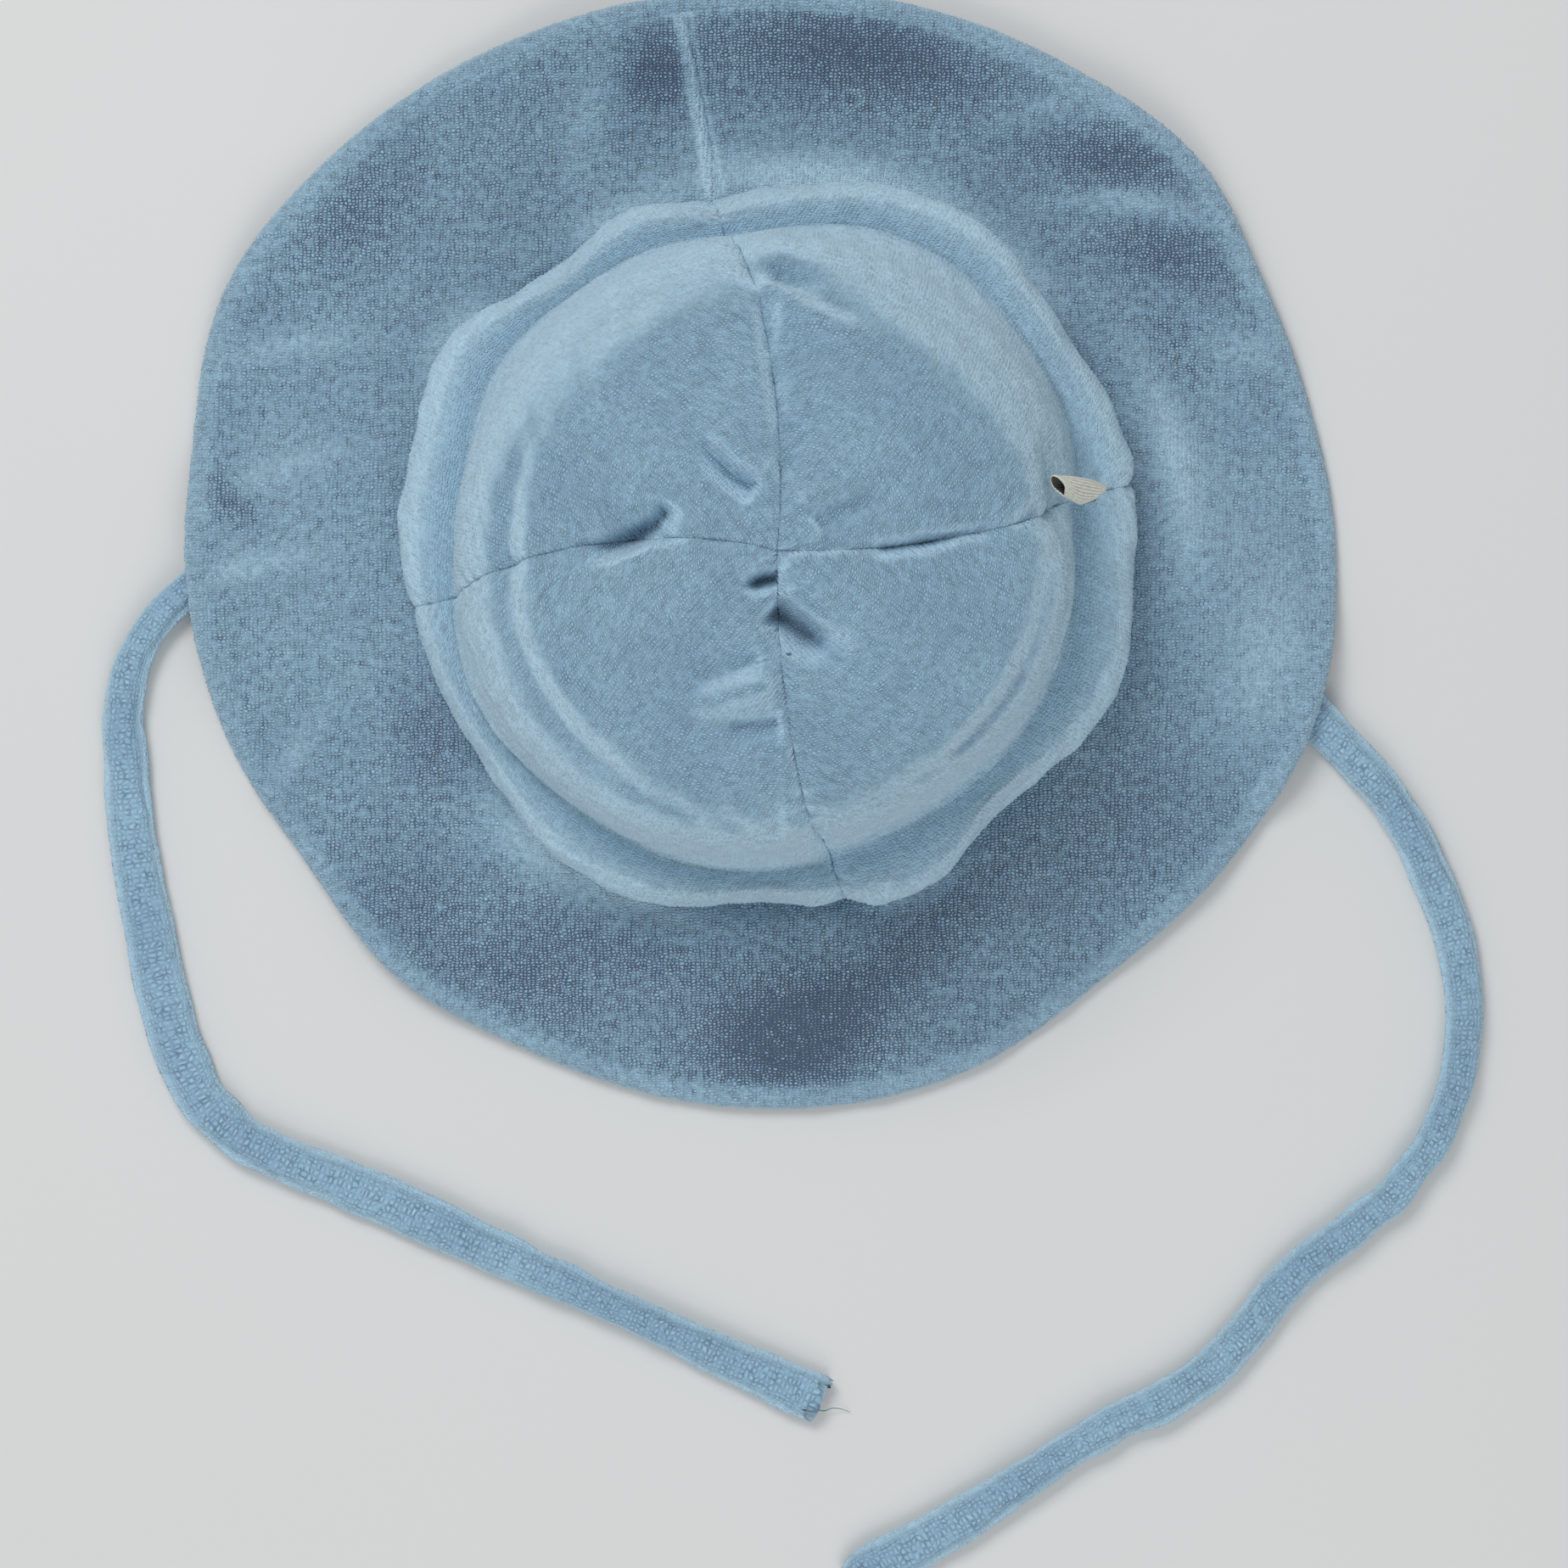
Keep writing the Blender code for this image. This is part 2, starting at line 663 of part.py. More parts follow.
def make_label(material):
    """The woven label: a loop of tape, folded double, that stands out of the side seam over the roll."""
    seam = seam_angle(0, LABEL_ALONG)
    half = 0.5 * LABEL_LENGTH / section_lengths()[1]
    places = LABEL_ALONG + half * np.array([-1.0, 0.0, 1.0])
    low, middle, high = outer_face(np.full(3, float(seam)), places)
    upward = (high - low) / np.linalg.norm(high - low)
    heading = math.radians(float(seam))
    sideways = np.array([-math.sin(heading), math.cos(heading), 0.0])
    outward = np.cross(sideways, upward)
    outward /= np.linalg.norm(outward)
    lean = math.radians(LABEL_LEAN)
    stand = outward * math.cos(lean) + sideways * math.sin(lean)
    spread = np.cross(upward, stand)
    clear = outward * (SEAM_GAP + 0.20 * LABEL_BULGE * math.sin(lean))
    root = np.maximum(0.0, max(np.dot(p - middle, outward) for p in (low, high))) * outward + middle + clear

    body = bmesh.new()
    rings = []
    for end in (-0.5, 0.5):
        for ring in label_section():
            verts = []
            for across, up in ring:
                point = root + upward * end * LABEL_LENGTH + spread * across + stand * up
                verts.append(body.verts.new(point))
            rings.append(verts)
    low_outer, low_inner, high_outer, high_inner = rings
    count = len(low_outer)
    for i in range(count):
        j = (i + 1) % count
        body.faces.new((low_outer[i], low_outer[j], high_outer[j], high_outer[i]))
        body.faces.new((low_inner[j], low_inner[i], high_inner[i], high_inner[j]))
        body.faces.new((low_outer[j], low_outer[i], low_inner[i], low_inner[j]))
        body.faces.new((high_outer[i], high_outer[j], high_inner[j], high_inner[i]))
    bmesh.ops.recalc_face_normals(body, faces=body.faces[:])
    return mesh_object("side_label", body, material)


def main():
    for old in list(bpy.data.objects):
        bpy.data.objects.remove(old, do_unlink=True)
    terry = new_material("blue_terry", TERRY_COLOUR, 0.95)
    tape = new_material("cream_tape", TAPE_COLOUR, 0.70)
    for index in range(len(PANEL_NAMES)):
        make_panel(index, terry)
    make_brim(terry)
    for name, route in TIE_ROUTES.items():
        make_tie(name, route, terry)
    make_label(tape)


main()
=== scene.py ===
"""The looks of a child's soft terry sun hat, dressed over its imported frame.

The hat lies brim down on a pale floor, seen from straight above. Metres, +Z up, the front towards -Y,
+X to the right as seen from above. Angles are in degrees from +X towards +Y.
"""

from __future__ import annotations

import logging
import math
from dataclasses import dataclass
from enum import Enum
from typing import Callable, Iterable, NamedTuple, Sequence

import bmesh
import bpy
import numpy as np
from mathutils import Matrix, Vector

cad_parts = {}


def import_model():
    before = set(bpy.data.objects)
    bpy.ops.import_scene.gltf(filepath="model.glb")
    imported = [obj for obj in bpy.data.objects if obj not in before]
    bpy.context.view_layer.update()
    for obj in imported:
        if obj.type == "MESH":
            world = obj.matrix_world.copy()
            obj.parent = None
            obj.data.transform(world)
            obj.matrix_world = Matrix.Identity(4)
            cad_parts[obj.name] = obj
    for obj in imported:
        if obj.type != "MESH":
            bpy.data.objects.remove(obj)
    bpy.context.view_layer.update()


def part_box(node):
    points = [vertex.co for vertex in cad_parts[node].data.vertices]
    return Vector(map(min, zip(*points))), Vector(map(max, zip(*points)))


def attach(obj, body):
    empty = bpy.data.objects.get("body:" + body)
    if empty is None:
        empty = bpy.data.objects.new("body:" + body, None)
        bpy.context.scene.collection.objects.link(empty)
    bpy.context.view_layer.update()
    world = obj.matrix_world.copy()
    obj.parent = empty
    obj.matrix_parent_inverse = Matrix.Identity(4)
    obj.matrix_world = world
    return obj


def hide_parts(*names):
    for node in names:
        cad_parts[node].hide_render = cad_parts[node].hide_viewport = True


LOG = logging.getLogger("terry_hat")

CLOTH_MAP = "Cloth"
# Pile depth note: how deep each vertex lies between the loops; the terry finishes paint the deep places
# darker as shade
DEPTH_NOTE = "Pile depth"
# Painted shading note: per vertex, painted shade up to 1 and painted light down to -1, which the terry
# finishes mix into the colour
PAINTED_SHADING_NOTE = "Pile open"


class Panel(Enum):
    """The four crown panels, in order round the head from the right-hand seam."""

    BACK_RIGHT = "crown_panel_back_right"
    BACK_LEFT = "crown_panel_back_left"
    FRONT_LEFT = "crown_panel_front_left"
    FRONT_RIGHT = "crown_panel_front_right"


class Section(NamedTuple):
    """A ring of the crown: its radius in head radii and its height in crown heights."""

    name: str
    reach: float
    height: float


class SeamLine(NamedTuple):
    """The azimuth of one crown seam at four places on its way up."""

    name: str
    at_brim: float
    at_shoulder: float
    at_top: float
    at_apex: float


class Reach(NamedTuple):
    """One point of an outline or a ring that runs round the hat."""

    angle: float
    share: float


class WallFold(NamedTuple):
    """A soft dent or bulge of the crown's side. push is in head radii, along is a share of the way up."""

    name: str
    angle: float
    along: float
    half_angle: float
    half_along: float
    push: float


class TopFold(NamedTuple):
    """A soft fold of the crown's top, in plan from the apex. Places, lengths and push are in head radii."""

    name: str
    right: float
    back: float
    turn: float
    half_length: float
    half_width: float
    push: float


class Crease(NamedTuple):
    """A fold of the crown's top along a line, in plan from the apex, in head radii.

    The cloth on the line's left stands higher by step, and the line itself lies lower by sink.
    """

    name: str
    line: tuple[tuple[float, float], ...]
    half_width: float
    step: float
    sink: float


class BrimRing(NamedTuple):
    """The height of the brim's underside, in brim rises, at a share of the way to the rim."""

    name: str
    across: float
    rise: float


class BrimWave(NamedTuple):
    """A place where the brim stands off the floor by lift brim widths. slant is degrees per brim width."""

    name: str
    angle: float
    half_angle: float
    across: float
    half_across: float
    lift: float
    slant: float = 0.0


class PaintedShadingPatch(NamedTuple):
    """A place on the brim painted darker as shade, up to 1, or lighter as light, down to -1."""

    name: str
    angle: float
    half_angle: float
    across: float
    half_across: float
    painted_shading: float
    slant: float = 0.0


class Girth(NamedTuple):
    """A tie's width and thickness, as shares of their usual values, at a share of its length."""

    along: float
    width: float
    thickness: float


def rows_of(kind: Callable[..., NamedTuple], *rows: tuple) -> tuple:
    """A table whose rows are all of one kind."""
    return tuple(kind(*row) for row in rows)


CROWN_SECTIONS = rows_of(
    Section,
    ("seam", 1.000, 0.000),
    ("seam_edge", 1.006, 0.024),
    ("under_roll", 1.046, 0.075),
    ("roll", 1.079, 0.165),
    ("roll_brow", 1.064, 0.228),
    ("roll_crest", 1.024, 0.282),
    ("roll_inner", 0.986, 0.282),
    ("groove", 0.950, 0.262),
    ("wall", 0.934, 0.400),
    ("wall_middle", 0.920, 0.545),
    ("shoulder_low", 0.898, 0.680),
    ("shoulder", 0.846, 0.812),
    ("shoulder_top", 0.752, 0.902),
    ("top", 0.535, 0.965),
    ("top_inner", 0.260, 0.992),
    ("apex", 0.000, 1.000),
)

SEAM_KNOTS = (0.0, 0.47, 0.72, 1.0)
SEAM_LINES = rows_of(
    SeamLine,
    ("right", 10.0, 8.4, 4.0, -2.0),
    ("back", 99.8, 95.7, 91.0, 84.0),
    ("left", 190.2, 185.8, 177.0, 166.0),
    ("front", 283.3, 278.0, 274.0, 269.0),
)

ROLL_ALONG = 0.11
ROLL_HALF_ALONG = 0.085
ROLL_REACHES = rows_of(
    Reach,
    (15.0, 0.017), (38.0, 0.000), (57.0, 0.057), (76.0, 0.025), (98.0, -0.045), (113.0, -0.010),
    (128.0, -0.050), (148.0, 0.050), (165.0, 0.006), (173.0, 0.015), (198.0, -0.024), (216.0, -0.034),
    (234.0, 0.022), (252.0, 0.020), (268.0, -0.038), (281.0, -0.010), (294.0, 0.032), (312.0, -0.054),
    (328.0, 0.000), (340.0, 0.033), (356.0, 0.000),
)

GROOVE_ALONG = 0.240
GROOVE_HALF_ALONG = 0.070
GROOVE_REACHES = rows_of(
    Reach,
    (2.0, -0.052), (20.0, -0.004), (45.0, 0.030), (72.0, 0.036), (92.0, -0.008), (115.0, 0.004),
    (140.0, 0.014), (177.0, -0.032), (204.0, 0.030), (240.0, -0.004), (269.0, 0.024), (292.0, -0.020),
    (315.0, 0.000), (335.0, -0.024), (350.0, -0.045),
)

SIDE_ALONG = 0.380
SIDE_HALF_ALONG = 0.150
SIDE_REACHES = rows_of(
    Reach,
    (0.0, -0.034), (20.0, -0.018), (52.0, -0.026), (92.0, -0.010), (120.0, -0.018), (180.0, 0.000),
    (225.0, 0.006), (245.0, 0.000), (260.0, -0.026), (276.0, -0.052), (294.0, -0.080), (312.0, -0.078),
    (332.0, -0.055), (346.0, -0.042),
)

WALL_FOLDS = rows_of(
    WallFold,
    ("label_hollow", 3.0, 0.33, 9.0, 0.080, -0.026),
    ("label_slope", 11.0, 0.47, 11.0, 0.060, -0.048),
    ("back_right_slope", 50.0, 0.50, 30.0, 0.075, -0.046),
    ("back_left_slope", 124.0, 0.50, 22.0, 0.070, -0.034),
    ("back_notch", 101.0, 0.14, 6.0, 0.080, -0.012),
    ("back_left_notch", 128.5, 0.13, 6.0, 0.070, -0.014),
    ("left_upper_ridge", 178.0, 0.60, 12.0, 0.022, 0.020),
    ("left_upper_hollow", 174.0, 0.55, 16.0, 0.022, -0.022),
    ("front_left_ridge", 216.0, 0.59, 24.0, 0.024, 0.018),
    ("front_left_hollow", 216.0, 0.54, 26.0, 0.022, -0.020),
    ("front_right_ridge", 322.0, 0.58, 20.0, 0.024, 0.014),
    ("front_right_hollow", 322.0, 0.53, 22.0, 0.022, -0.016),
    ("front_notch", 269.0, 0.19, 6.0, 0.080, -0.016),
    ("front_right_notch", 312.0, 0.18, 7.0, 0.090, -0.022),
)

TOP_FOLDS = rows_of(
    TopFold,
    ("front_crease", 0.120, -0.262, -36.0, 0.150, 0.075, -0.062),
    ("front_right_lobe", 0.170, -0.110, -32.0, 0.160, 0.100, 0.024),
    ("left_pinch", -0.060, -0.080, 8.0, 0.065, 0.036, -0.036),
    ("back_left_crease", -0.086, 0.190, -42.0, 0.110, 0.040, -0.026),
    ("left_seam_step", -0.410, 0.066, 18.0, 0.150, 0.048, -0.040),
    ("left_seam_lip", -0.400, -0.030, 16.0, 0.160, 0.050, 0.014),
    ("right_seam_hollow", 0.440, 0.056, 12.0, 0.160, 0.050, -0.024),
    ("front_ridge", -0.108, -0.385, 18.0, 0.150, 0.040, 0.022),
    ("front_hollow", -0.070, -0.500, 0.0, 0.140, 0.052, -0.028),
    ("back_hollow", 0.045, 0.580, -15.0, 0.120, 0.075, -0.022),
    ("back_edge_hollow", 0.010, 0.800, -15.0, 0.130, 0.042, -0.028),
    ("back_edge_ridge", 0.040, 0.705, -22.0, 0.150, 0.036, 0.014),
    ("right_back_hollow", 0.230, 0.160, 22.0, 0.150, 0.062, -0.018),
    ("left_front_hollow", -0.180, -0.260, 30.0, 0.170, 0.090, -0.025),
    ("left_back_hollow", -0.320, 0.140, 58.0, 0.080, 0.050, -0.018),
)

CREASES = rows_of(
    Crease,
    ("front_lobe_edge", ((-0.012, -0.142), (0.020, -0.172), (0.070, -0.214), (0.170, -0.290)),
     0.036, 0.044, 0.090),
    ("pit_edge", ((0.010, -0.070), (-0.034, -0.070), (-0.070, -0.088), (-0.096, -0.125)),
     0.022, -0.034, 0.060),
    ("left_seam_fold", ((-0.318, 0.152), (-0.353, 0.088), (-0.432, 0.047), (-0.590, -0.020)),
     0.028, -0.036, 0.040),
    ("back_left_fold", ((-0.040, 0.186), (-0.119, 0.224), (-0.176, 0.283), (-0.240, 0.370)),
     0.032, -0.036, 0.034),
    ("back_right_fold", ((0.080, 0.095), (0.201, 0.145), (0.340, 0.210)), 0.040, 0.024, 0.014),
    ("right_seam_lip", ((0.020, -0.005), (0.153, -0.003), (0.300, 0.014)), 0.016, -0.010, 0.000),
    ("right_seam_fold", ((0.263, 0.011), (0.416, 0.040), (0.625, 0.074)), 0.020, 0.026, 0.016),
    ("front_left_ridge_line", ((-0.020, -0.338), (-0.120, -0.372), (-0.270, -0.426)),
     0.040, 0.024, 0.004),
    ("front_dent", ((0.020, -0.506), (-0.062, -0.519), (-0.190, -0.535)), 0.040, 0.014, 0.016),
    ("back_seam_fold", ((-0.060, 0.740), (-0.021, 0.427), (0.003, 0.116)), 0.026, -0.016, 0.003),
    ("back_edge_fold", ((-0.040, 0.810), (0.100, 0.700), (0.300, 0.610)), 0.036, -0.020, 0.012),
    ("left_seam_lip", ((-0.276, 0.018), (-0.348, 0.021), (-0.540, -0.056)), 0.020, 0.020, 0.000),
    ("front_seam_lip", ((0.020, -0.820), (0.012, -0.620), (0.004, -0.380)), 0.020, -0.008, 0.000),
)

BRIM_RINGS = rows_of(
    BrimRing,
    ("hole", -0.04, 1.00),
    ("seam", 0.08, 1.00),
    ("slope", 0.24, 0.62),
    ("middle", 0.45, 0.20),
    ("outer", 0.70, 0.00),
    ("rim", 1.04, 0.00),
)

RIM_REACHES = rows_of(
    Reach,
    (0.0, 1.012), (15.0, 0.998), (29.0, 1.004), (41.0, 1.031), (56.0, 1.012), (75.0, 0.994),
    (90.0, 0.986), (105.0, 0.991), (125.0, 1.016), (140.0, 1.037), (155.0, 1.057), (170.0, 1.026),
    (185.0, 1.017), (200.0, 1.004), (214.0, 0.979), (230.0, 0.994), (243.0, 0.978), (265.0, 0.985),
    (290.0, 0.989), (310.0, 0.967), (325.0, 0.988), (341.0, 1.016),
)

BRIM_WAVES = rows_of(
    BrimWave,
    ("back_right_ridge", 42.5, 2.6, 0.72, 0.28, 0.030, -30.0),
    ("back_right_far_ridge", 58.0, 3.0, 0.78, 0.24, 0.024, -25.0),
    ("right_back_ridge", 22.0, 2.6, 0.85, 0.20, 0.020, -12.0),
    ("back_seam_ridge", 111.0, 3.4, 0.62, 0.30, 0.022, -20.0),
    ("left_back_ridge", 157.0, 2.2, 0.70, 0.35, 0.020, 16.0),
    ("left_ridge", 171.0, 2.0, 0.65, 0.30, 0.018, 14.0),
    ("left_low_ridge", 182.0, 1.8, 0.75, 0.35, 0.019, 5.0),
    ("left_front_ridge", 204.0, 2.4, 0.80, 0.30, 0.022, 14.0),
    ("left_front_near_ridge", 196.0, 2.0, 0.75, 0.25, 0.016, 10.0),
    ("back_curl", 84.0, 30.0, 1.05, 0.42, 0.115),
    ("back_right_ripple", 46.0, 9.0, 0.92, 0.40, 0.060),
    ("right_ripple", 29.0, 8.0, 0.80, 0.30, 0.034),
    ("back_left_ripple", 107.0, 8.0, 0.95, 0.34, 0.048),
    ("left_back_ripple", 147.0, 9.0, 1.00, 0.36, 0.060),
    ("right_ring", 8.0, 34.0, 0.36, 0.13, 0.030),
    ("front_left_ripple", 226.0, 12.0, 0.95, 0.40, 0.050),
    ("front_hump", 266.0, 30.0, 0.44, 0.34, 0.125),
    ("front_right_hump", 310.0, 14.0, 0.30, 0.24, 0.040),
    ("front_right_ripple", 322.0, 10.0, 0.95, 0.30, 0.034),
)

# Painted shade (above 0) and painted light (below 0) on the brim's top: dark patches on its outer slopes,
# pale bands by the crown and along the wave ridges
PAINTED_SHADING_PATCHES = rows_of(
    PaintedShadingPatch,
    ("front_middle", 273.0, 9.0, 0.73, 0.19, 1.00),
    ("front_middle_inner", 274.0, 10.0, 0.55, 0.20, 0.40),
    ("front_right_band", 288.0, 12.0, 0.44, 0.26, 0.50, -60.0),
    ("front_left_band", 248.0, 14.0, 0.42, 0.15, 0.40),
    ("front_left_outer", 243.0, 7.0, 0.70, 0.16, 0.40),
    ("left_front", 211.0, 8.0, 0.22, 0.16, 0.40),
    ("left_front_outer", 229.0, 12.0, 0.74, 0.22, 0.30),
    ("front_right", 318.0, 16.0, 0.45, 0.30, 0.25),
    ("back_middle", 79.0, 15.0, 0.75, 0.19, 0.80),
    ("back_seam_spot", 102.5, 4.0, 0.68, 0.15, 0.75),
    ("back_right_outer", 48.0, 4.5, 0.77, 0.17, 0.80, -22.0),
    ("back_right_inner", 36.0, 4.0, 0.68, 0.22, 0.65, -22.0),
    ("back_left", 141.0, 7.0, 0.76, 0.15, 0.40),
    ("left_streak", 174.5, 2.0, 0.84, 0.13, 0.60, -14.0),
    ("right_middle", 26.0, 5.0, 0.52, 0.11, 0.35),
    ("back_by_crown", 76.0, 24.0, 0.14, 0.15, -1.00),
    ("back_left_by_crown", 114.0, 9.0, 0.08, 0.10, -0.60),
    ("left_by_crown", 146.0, 8.0, 0.14, 0.10, -0.60),
    ("right_by_crown", 46.0, 8.0, 0.12, 0.10, -0.50),
    ("right_ring", 12.0, 14.0, 0.36, 0.09, -0.45),
    ("front_left_by_crown", 240.0, 17.0, 0.14, 0.14, -1.00),
    ("front_right_by_crown", 296.0, 8.0, 0.12, 0.09, -0.60),
    ("right_outer", 348.0, 12.0, 0.75, 0.22, -0.35),
    ("back_right_stripe", 42.5, 2.0, 0.72, 0.24, -0.45, -30.0),
    ("back_right_far_stripe", 58.0, 2.4, 0.76, 0.22, -0.35, -25.0),
    ("right_back_stripe", 22.0, 2.4, 0.85, 0.18, -0.30, -12.0),
    ("back_seam_stripe", 111.0, 3.0, 0.62, 0.28, -0.30, -20.0),
    ("left_back_far_stripe", 157.0, 1.8, 0.70, 0.32, -0.28, 16.0),
    ("left_stripe", 171.0, 1.6, 0.65, 0.28, -0.25, 14.0),
    ("left_back_stripe", 182.0, 1.6, 0.76, 0.30, -0.32, 5.0),
    ("left_front_stripe", 204.0, 2.0, 0.80, 0.28, -0.28, 14.0),
    ("left_pale", 178.0, 30.0, 0.55, 0.50, -0.22),
    ("right_pale", 8.0, 26.0, 0.50, 0.50, -0.22),
)

# The ties' routes on the floor, sewn end first: right and back, in metres
LEFT_TIE_ROUTE = (
    (-0.0800, 0.0030), (-0.0920, 0.0042), (-0.1050, 0.0040), (-0.1180, 0.0000),
    (-0.1290, -0.0070), (-0.1385, -0.0160), (-0.1445, -0.0265), (-0.1464, -0.0372),
    (-0.1458, -0.0490), (-0.1443, -0.0665), (-0.1408, -0.0856), (-0.1367, -0.1047),
    (-0.1299, -0.1230), (-0.1230, -0.1318), (-0.1140, -0.1377), (-0.0985, -0.1441),
    (-0.0805, -0.1519), (-0.0630, -0.1600), (-0.0452, -0.1681), (-0.0275, -0.1762),
    (-0.0099, -0.1845), (0.0125, -0.1946),
)
RIGHT_TIE_ROUTE = (
    (0.0812, 0.0020), (0.0930, -0.0040), (0.1050, -0.0150), (0.1165, -0.0280),
    (0.1290, -0.0405), (0.1373, -0.0493), (0.1437, -0.0567), (0.1531, -0.0737),
    (0.1595, -0.0920), (0.1609, -0.1115), (0.1564, -0.1305), (0.1457, -0.1466),
    (0.1308, -0.1591), (0.1232, -0.1650), (0.1166, -0.1722), (0.1106, -0.1798),
    (0.1039, -0.1870), (0.0961, -0.1929), (0.0788, -0.2014), (0.0622, -0.2118),
    (0.0458, -0.2225), (0.0195, -0.2369),
)

# The loose thread at the left tie's cut end: right, back and up, in metres
THREAD_ROUTE = (
    (0.0110, -0.1958, 0.0030),
    (0.0138, -0.1974, 0.0026),
    (0.0162, -0.1969, 0.0016),
    (0.0184, -0.1972, 0.0007),
    (0.0203, -0.1979, 0.0004),
)

# Points down the label's sewn side and down its folded side: right, back and up, in metres
LABEL_ROOT = (
    (0.0664, 0.0092, 0.0634),
    (0.0684, 0.0084, 0.0588),
    (0.0706, 0.0080, 0.0536),
    (0.0738, 0.0092, 0.0480),
)
LABEL_FOLD = (
    (0.0638, 0.0139, 0.0654),
    (0.0684, 0.0137, 0.0624),
    (0.0728, 0.0132, 0.0582),
    (0.0766, 0.0121, 0.0524),
)

# The head's radius in rim radii, and the top of a crown panel in crown heights
HEAD_SHARE = 0.5937
CREST_SHARE = 0.996

LEFT_TIE_GIRTHS = rows_of(
    Girth,
    (0.00, 0.90, 1.00), (0.20, 0.80, 1.06), (0.30, 0.98, 0.96), (0.40, 1.13, 0.88), (0.52, 1.15, 0.88),
    (0.60, 0.98, 0.98), (0.68, 1.12, 0.90), (0.78, 0.97, 1.00), (0.86, 0.80, 1.08), (0.93, 0.92, 1.00),
    (1.00, 1.14, 0.86),
)
RIGHT_TIE_GIRTHS = rows_of(
    Girth,
    (0.00, 0.90, 1.00), (0.20, 0.98, 0.98), (0.27, 0.88, 1.04), (0.34, 0.92, 1.00), (0.45, 0.82, 1.08),
    (0.56, 0.82, 1.06), (0.68, 0.90, 1.00), (0.76, 0.90, 1.02), (0.83, 0.80, 1.08), (0.91, 1.00, 0.96),
    (1.00, 1.16, 0.86),
)


def smooth_curve(knots: Sequence[float], values: Sequence[float], at: np.ndarray) -> np.ndarray:
    """The cubic curve through values at knots, with each tangent taken from its neighbours.

    Args:
        knots: rising places along the curve.
        values: the curve's value at each knot.
        at: the places to read.

    Returns:
        The curve's values at those places.
    """
    knots = np.asarray(knots, float)
    values = np.asarray(values, float)
    slopes = np.gradient(values, knots)
    i = np.clip(np.searchsorted(knots, at) - 1, 0, len(knots) - 2)
    span = knots[i + 1] - knots[i]
    f = (at - knots[i]) / span
    start = (1 + 2 * f) * (1 - f) ** 2 * values[i] + f * (1 - f) ** 2 * span * slopes[i]
    end = f**2 * (3 - 2 * f) * values[i + 1] - f**2 * (1 - f) * span * slopes[i + 1]
    return start + end


def round_curve(reaches: Sequence[Reach], angles: np.ndarray) -> np.ndarray:
    """The closed curve through a table of reaches.

    Args:
        reaches: the table, in order of angle.
        angles: the azimuths to read, in degrees.

    Returns:
        The shares at those azimuths.
    """
    knots = np.array([row.angle for row in reaches])
    shares = np.array([row.share for row in reaches])
    knots = np.concatenate([knots - 360.0, knots, knots + 360.0])
    return smooth_curve(knots, np.tile(shares, 3), np.mod(angles, 360.0))


def curve_through(knots: np.ndarray, points: Sequence[Sequence[float]], at: np.ndarray) -> np.ndarray:
    """The smooth curve through points, read at places along it, a row each."""
    return np.stack([smooth_curve(knots, axis, at) for axis in np.asarray(points, float).T], axis=-1)


def bell(distance: np.ndarray, half_width: float) -> np.ndarray:
    """1 at no distance, falling smoothly to about a third at the half width."""
    return np.exp(-((distance / half_width) ** 2))


def crest(distance: np.ndarray, half_width: float) -> np.ndarray:
    """1 at no distance, falling at once and then ever slower, as cloth does beside a stitched seam."""
    return np.exp(-np.abs(distance) / half_width)


def turn_between(angles: np.ndarray, centre: np.ndarray | float) -> np.ndarray:
    """The signed angle in degrees from the centre to each of the angles."""
    return np.mod(angles - centre + 180.0, 360.0) - 180.0


def smooth_step(value: np.ndarray) -> np.ndarray:
    """0 below 0, 1 above 1, and smooth between."""
    value = np.clip(value, 0.0, 1.0)
    return value * value * (3.0 - 2.0 * value)


def crumple(across: np.ndarray, along: np.ndarray, pitch: float, seed: int) -> np.ndarray:
    """Soft irregular lumps, as in cloth that has been handled.

    Args:
        across: the first coordinate on the cloth, in metres.
        along: the second coordinate on the cloth, in metres.
        pitch: the usual distance between two lumps, in metres.
        seed: the choice of lumps.

    Returns:
        Heights from about -1 to 1.
    """
    picks = np.random.default_rng(seed)
    total = np.zeros_like(across)
    waves = 9
    for _ in range(waves):
        heading = picks.uniform(0.0, 2.0 * math.pi)
        number = 2.0 * math.pi / (pitch * picks.uniform(0.7, 1.6))
        phase = picks.uniform(0.0, 2.0 * math.pi)
        total += np.sin(number * (across * math.cos(heading) + along * math.sin(heading)) + phase)
    return total / math.sqrt(2.0 * waves)


def chance(first: np.ndarray, second: np.ndarray, seed: int) -> np.ndarray:
    """A scattered value from 0 to 1 for each pair of whole numbers, always the same for the same pair."""
    return np.mod(np.sin(first * 12.9898 + second * 78.233 + seed * 3.7) * 43758.5453, 1.0)


